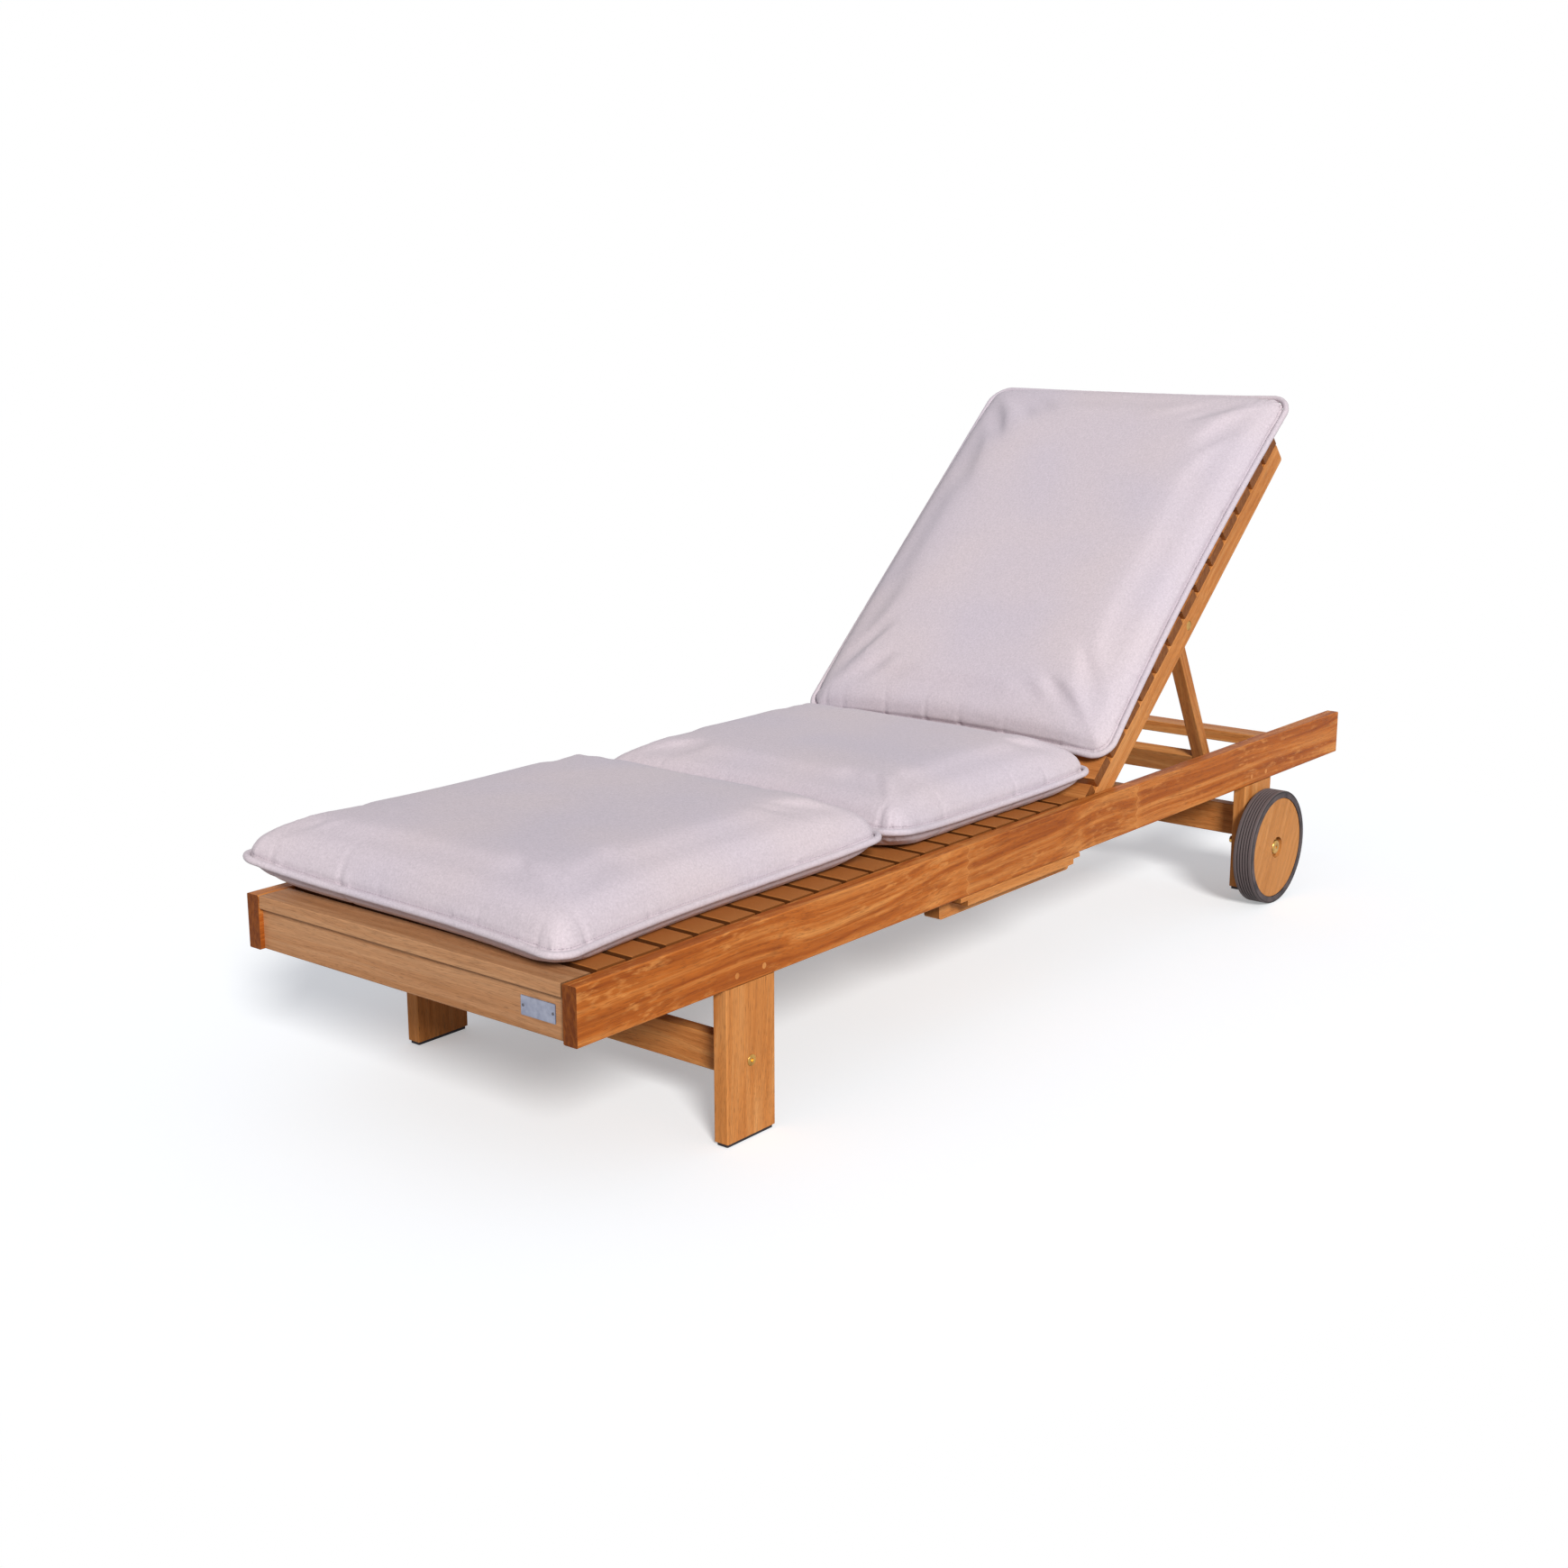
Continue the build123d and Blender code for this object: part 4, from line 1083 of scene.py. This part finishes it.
# %% [markdown]
# ### Filling the form
# A filled cushion has steep full sides and a nearly flat middle. Above the rim each point is raised to a
# dome, which a high power of the place along both directions keeps flat, and a quarter circle brings it down
# at the rim. Below the rim the cloth bulges a little before it tucks under. Beside the rim it is drawn in to
# the middle of the rolled edge.

# %% Filling
draw_in_reach = 0.020
crown_start_share = 0.96
dome_fullness = 18
dome_margin = 0.018
rim_rise = 0.036
tuck_reach = 0.045
tuck_end = 0.120
tuck_share = 0.22


def filled(points, rim, middle, half, top):
    """Points of a cushion with full sides: a dome that comes down steeply at the rim."""
    level = rim.ring[0, 2]
    index, distance = rim.nearest(points * (1, 1, 0) + (0, 0, level))
    place = np.abs(points[:, :2] - middle[:2]) / (half[:2] + dome_margin)
    dome = np.prod(1 - np.clip(place, 0, 1) ** (half[:2] * dome_fullness), axis=1) ** 0.5
    short = 1 - np.clip(distance / rim_rise, 0, 1)
    moved = points.copy()
    above = points[:, 2] > level
    crown = level + crown_start_share * (top - level) * dome * (1 - short**2) ** 0.5
    moved[above, 2] = crown[above]
    push = tuck_share * np.minimum(distance, tuck_reach * (tuck_end - distance) / (tuck_end - tuck_reach))
    push = np.where(above, 0, np.maximum(push, 0))
    draw = roll_radius * np.exp(-((np.linalg.norm(moved - rim.ring[index], axis=1) / draw_in_reach) ** 2))
    return moved + rim.out[index] * (push - draw)[:, None]


print("a cushion starts at", crown_start_share, "of its crown")

# %% [markdown]
# ### The body of a cushion
# The steps so far in their order: even cells, the filled form, a first smoothing, the weave map, the lifted
# corners and the simulation.

# %% Body of a cushion
ease_rounds = 16
rim_hold = 1.6 * cell
underside_skin = 0.002


def body_of(name, solid, rim, lift, middle, half):
    """The swollen body of a cushion, whose edge ends in the middle of the rolled edge."""
    piece = shown(name, solid)
    remesh = piece.modifiers.new("Even", "REMESH")
    remesh.mode = "VOXEL"
    remesh.voxel_size = cell
    baked(piece)
    set_points(piece.data, filled(points_of(piece.data), rim, middle, half, middle[2] + half[2]))
    eased(piece, rim.ring[0, 2], ease_rounds)
    points = points_of(piece.data)
    distance = rim.nearest(points)[1]
    held = np.where(points[:, 2] < rim.ring[0, 2], soft_hold, 0.0)
    underneath = points[:, 2] < middle[2] - half[2] + underside_skin
    held = np.where(underneath | (distance < rim_hold), firm_hold, held)
    map_weave(piece.data)
    set_points(piece.data, lift(points))
    print(name, "swelled by", swollen(piece, held))
    return piece


print("the cloth is held for", rim_hold, "from the rim")

# %% [markdown]
# ### A whole cushion
# The seam lies on the lifted rim. The body is smoothed once more and subdivided, and its creases are pressed
# in, before the rolled edge and the stitches are laid on it. All three pieces ride on the same body, and the
# cushion stands for its solid.

# %% Making a cushion
settle_rounds = 8
stitch_inset = 0.0056


def cushion(name, node, body, place, lifts, seed):
    """One finished cushion with its rolled edge and stitches."""
    solid = copy_of_solid(node, place)
    flat_points = points_of(solid)
    low, high = flat_points.min(0), flat_points.max(0)
    middle, half = (low + high) / 2, (high - low) / 2

    def lift(points):
        return lifted(points, middle, half, lifts)

    rim = Rim(outline_at(solid, low[2] + rim_level_share * (high[2] - low[2])))
    piece = body_of(name, solid, rim, lift, middle, half)
    seam = Rim(lift(rim.ring - rim.out * roll_radius))
    eased(piece, rim.ring[0, 2], settle_rounds)
    finer = piece.modifiers.new("Finer", "SUBSURF")
    finer.levels = finer.render_levels = 1
    baked(piece)
    corners = [middle[:2] + half[:2] * (end, side) for end in (-1, 1) for side in (-1, 1)]
    gather(piece.data, seam, creases(seam.ring, corners, np.random.default_rng(seed)))
    piece.data.polygons.foreach_set("use_smooth", [True] * len(piece.data.polygons))
    skin = BVHTree.FromObject(piece, bpy.context.evaluated_depsgraph_get())
    inner = seam.ring - seam.out * stitch_inset + (0, 0, stitch_inset)
    stitched = np.array([skin.find_nearest(Vector(point))[0] for point in inner])
    roll = edge_roll(name + "Edge", seam.ring, seed)
    row = stitch_row(name + "Stitches", stitched)
    for made, finish in ((piece, cover_cloth), (roll, cover_cloth), (row, seam_thread)):
        made.data.transform(place)
        dress(made, finish)
        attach(made, body)
    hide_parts(node)
    faces = [len(made.data.polygons) for made in (piece, roll, row)]
    print(name, "faces:", faces, "top:", round(points_of(piece.data)[:, 2].max(), 4))
    return piece


print("stitches lie", stitch_inset, "inside the seam")

# %% [markdown]
# ### The three cushions
# The leg and seat cushions lie on the seat slats and stay with the frame. The back cushion leans on the
# backrest and turns with it, so it is shaped lying flat and then put in its leaning place. The leg cushion's
# far front corner stands highest, like an ear, and the seat cushion's near front corner rides on its
# neighbour's edge.

# %% Cushions
level = Matrix.Identity(4)
leg_lifts = {(-1, -1): (-0.006, 0), (-1, 1): (0.022, 0.008), (1, -1): (0.013, 0), (1, 1): (0.008, 0)}
seat_lifts = {(-1, -1): (0.014, -0.004), (-1, 1): (0.008, 0), (1, -1): (0.013, 0), (1, 1): (0.006, 0)}
back_lifts = {(1, -1): (0.008, 0.002), (1, 1): (0.002, 0.002), (1, 0): (0.002, 0.016), (0, 1): (0, 0.018)}
cushions = (
    cushion("LegCushion", "leg_cushion", "root", level, leg_lifts, 11),
    cushion("SeatCushion", "seat_cushion", "root", level, seat_lifts, 12),
    cushion("BackCushion", "back_cushion", "backrest", backrest_place, back_lifts, 13),
)
print("cushions:", ", ".join(piece.name for piece in cushions))

# %% [markdown]
# ## Plate on the apron
# A small blank plate of brushed aluminium is pinned to the apron near the left rail. It is a rounded outline
# given a thickness, with its front edge broken, and the two pins are low domes.

# %% Plate sizes
plate_width = 0.058
plate_height = 0.025
plate_thickness = 0.0012
plate_corner = 0.0015
plate_break = 0.0004
plate_arc_steps = 3
plate_from_rail = 0.018
plate_above_middle = 0.003
pin_radius = 0.0019
pin_height = 0.0010
pin_inset = 0.004
apron_low, apron_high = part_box("front_apron")
plate_y = apron_low.y + plate_from_rail + plate_width / 2
plate_z = (apron_low.z + apron_high.z) / 2 + plate_above_middle
print("plate at", round(plate_y, 4), round(plate_z, 4))

# %% [markdown]
# ### Making the plate
# The outline is four quarter arcs. The face is extruded forwards and its front edges are bevelled, so that
# they catch the light as a thin line.

# %% Plate


def plate_outline():
    """The plate's rounded outline, in Y and Z about its middle."""
    outline = []
    for side, rise, start in ((1, 1, 0), (-1, 1, 90), (-1, -1, 180), (1, -1, 270)):
        for step in range(plate_arc_steps + 1):
            angle = radians(start + 90 * step / plate_arc_steps)
            y = side * (plate_width / 2 - plate_corner) + plate_corner * cos(angle)
            z = rise * (plate_height / 2 - plate_corner) + plate_corner * sin(angle)
            outline.append((y, z))
    return outline


work = bmesh.new()
ring = [work.verts.new((apron_low.x, plate_y + y, plate_z + z)) for y, z in plate_outline()]
grown = bmesh.ops.extrude_face_region(work, geom=[work.faces.new(ring)])
front = [item for item in grown["geom"] if isinstance(item, bmesh.types.BMVert)]
bmesh.ops.translate(work, verts=front, vec=(-plate_thickness, 0, 0))
edges = [edge for edge in work.edges if all(corner in front for corner in edge.verts)]
bmesh.ops.bevel(work, geom=edges, offset=plate_break, segments=2, affect="EDGES")
bmesh.ops.recalc_face_normals(work, faces=work.faces)
mesh = bpy.data.meshes.new("ApronPlate")
work.to_mesh(mesh)
work.free()
plate = dress(shown("ApronPlate", mesh), aluminium)
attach(plate, "root")
print("plate faces:", len(mesh.polygons))

# %% [markdown]
# ### Its pins
# A duller low dome holds each short end of the plate. It is made upright and turned to face forwards.

# %% Pins
forwards = Matrix.Rotation(-pi / 2, 4, "Y")
work = bmesh.new()
for side in (-1, 1):
    y = plate_y + side * (plate_width / 2 - pin_inset)
    place = Matrix.Translation((apron_low.x - plate_thickness, y, plate_z)) @ forwards
    dome = bmesh.ops.create_uvsphere(work, u_segments=16, v_segments=8, radius=1.0)["verts"]
    scale = Matrix.Diagonal((pin_radius, pin_radius, pin_height, 1.0))
    bmesh.ops.transform(work, matrix=place @ scale, verts=dome)
mesh = bpy.data.meshes.new("ApronPlatePins")
work.to_mesh(mesh)
work.free()
mesh.polygons.foreach_set("use_smooth", [True] * len(mesh.polygons))
pins = dress(shown("ApronPlatePins", mesh), pin_metal)
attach(pins, "root")
print("pin faces:", len(mesh.polygons))

# %% [markdown]
# ## Floor
# The lounger stands on a plain pale floor that fades into a white background. Seen straight, the floor is a
# mix of a little glow and a matt surface that still takes the shadow, and away from the lounger the glow
# alone is left. To light that bounces, the floor is a plain matt grey, so that it doesn't brighten the
# underside.

# %% Floor
floor_half = 30.0
white = (1, 1, 1, 1)
matt_colour = (0.79, 0.81, 0.82, 1)
bounce_colour = (0.45, 0.45, 0.45, 1)
glow_colour = (0.98, 1.0, 1.01, 1)
glow_strength = 0.33
fade_start = 1.25
fade_end = 1.75
fade_squeeze = 1.45


def looked_at(tree):
    """1 where the camera looks, also in a reflection or through glass, and 0 for light that bounces."""
    path = tree.add("LightPath").outputs
    seen = path["Is Camera Ray"]
    for kind in ("Is Glossy Ray", "Is Transmission Ray"):
        seen = tree.add("Math", {0: seen, 1: path[kind]}, operation="MAXIMUM").outputs[0]
    return seen


def floor_finish():
    """A pale floor that keeps the shadow near the lounger and is white beyond."""
    r = Recipe("Floor")
    place = r.vector("MULTIPLY", r.add("TexCoord").outputs["Object"], (1.0, fade_squeeze, 0.0))
    away = r.add("VectorMath", {0: place}, operation="LENGTH").outputs["Value"]
    background = r.add("Emission", {"Color": white, "Strength": 1.0}).outputs[0]
    glow = r.add("Emission", {"Color": glow_colour, "Strength": glow_strength}).outputs[0]
    matt = r.add("BsdfDiffuse", {"Color": matt_colour}).outputs[0]
    lit = r.add("AddShader", {0: glow, 1: matt}).outputs[0]
    fading = r.between(away, fade_start, fade_end)
    pale = r.add("MixShader", {0: fading, 1: lit, 2: background}).outputs[0]
    bounce = r.add("BsdfDiffuse", {"Color": bounce_colour}).outputs[0]
    return r.end(r.add("MixShader", {0: looked_at(r), 1: bounce, 2: pale}).outputs[0])


mesh = bpy.data.meshes.new("Floor")
corners = [(x * floor_half, y * floor_half, 0.0) for x, y in ((-1, -1), (1, -1), (1, 1), (-1, 1))]
mesh.from_pydata(corners, [], [(0, 1, 2, 3)])
floor = dress(shown("Floor", mesh), floor_finish())
print("floor fades from", fade_start, "to", fade_end)

# %% [markdown]
# ## World
# The world is white where it is looked at, also in a reflection, and elsewhere it is a weak, slightly cool
# sky that fills the shadows.

# %% World
sky_colour = (0.94, 0.96, 1.06, 1)
sky_strength = 0.37
world = bpy.data.worlds.new("Studio")
world.use_nodes = True
bpy.context.scene.world = world
w = NodeTree(world.node_tree)
w.prefix = "ShaderNode"
w.tree.nodes.clear()
sky = w.add("Background", {"Color": sky_colour, "Strength": sky_strength}).outputs[0]
background = w.add("Background", {"Color": white, "Strength": 1.0}).outputs[0]
both = w.add("MixShader", {0: looked_at(w), 1: sky, 2: background}).outputs[0]
w.add("OutputWorld", {"Surface": both})
print("sky strength:", sky_strength)

# %% [markdown]
# ## Lamp
# One soft sun stands to the sitter's left of the foot end, rather low, so that the near sides are brightest,
# the backrest is a little brighter than the flat cushions, and the slats are shaded under the cushions'
# edges. A sun lights the foot and the head alike, which a lamp at a few metres doesn't.

# %% Sun
sun_direction = Vector((-0.54, -0.69, 0.486))
sun_strength = 3.3
sun_angle = radians(14)
sun_colour = (1.0, 0.985, 0.965)

light = bpy.data.lights.new("Sun", "SUN")
light.energy = sun_strength
light.angle = sun_angle
light.color = sun_colour
sun = bpy.data.objects.new("Sun", light)
bpy.context.scene.collection.objects.link(sun)
sun.rotation_euler = sun_direction.to_track_quat("Z", "Y").to_euler()
print("sun strength:", sun_strength)

# %% [markdown]
# ## Camera
# The camera stands where the photograph was taken from. Its place, direction and lens were found by matching
# sixty points of the frame.

# %% Camera
camera_place = (-2.6316, -1.9497, 1.0849)
camera_heading = 39.313
camera_drop = 13.619
camera_roll = -0.137
camera_lens = 48.66

lens = bpy.data.cameras.new("Camera")
lens.lens = camera_lens
lens.sensor_width = 36.0
lens.clip_end = 100.0
camera = bpy.data.objects.new("Camera", lens)
bpy.context.scene.collection.objects.link(camera)
heading = Matrix.Rotation(radians(camera_heading - 90), 4, "Z")
drop = Matrix.Rotation(radians(90 - camera_drop), 4, "X")
roll = Matrix.Rotation(radians(camera_roll), 4, "Z")
turn = heading @ drop @ roll
camera.matrix_world = Matrix.Translation(camera_place) @ turn
bpy.context.scene.camera = camera
bpy.context.scene.view_settings.view_transform = "Standard"
print("camera at", camera_place)
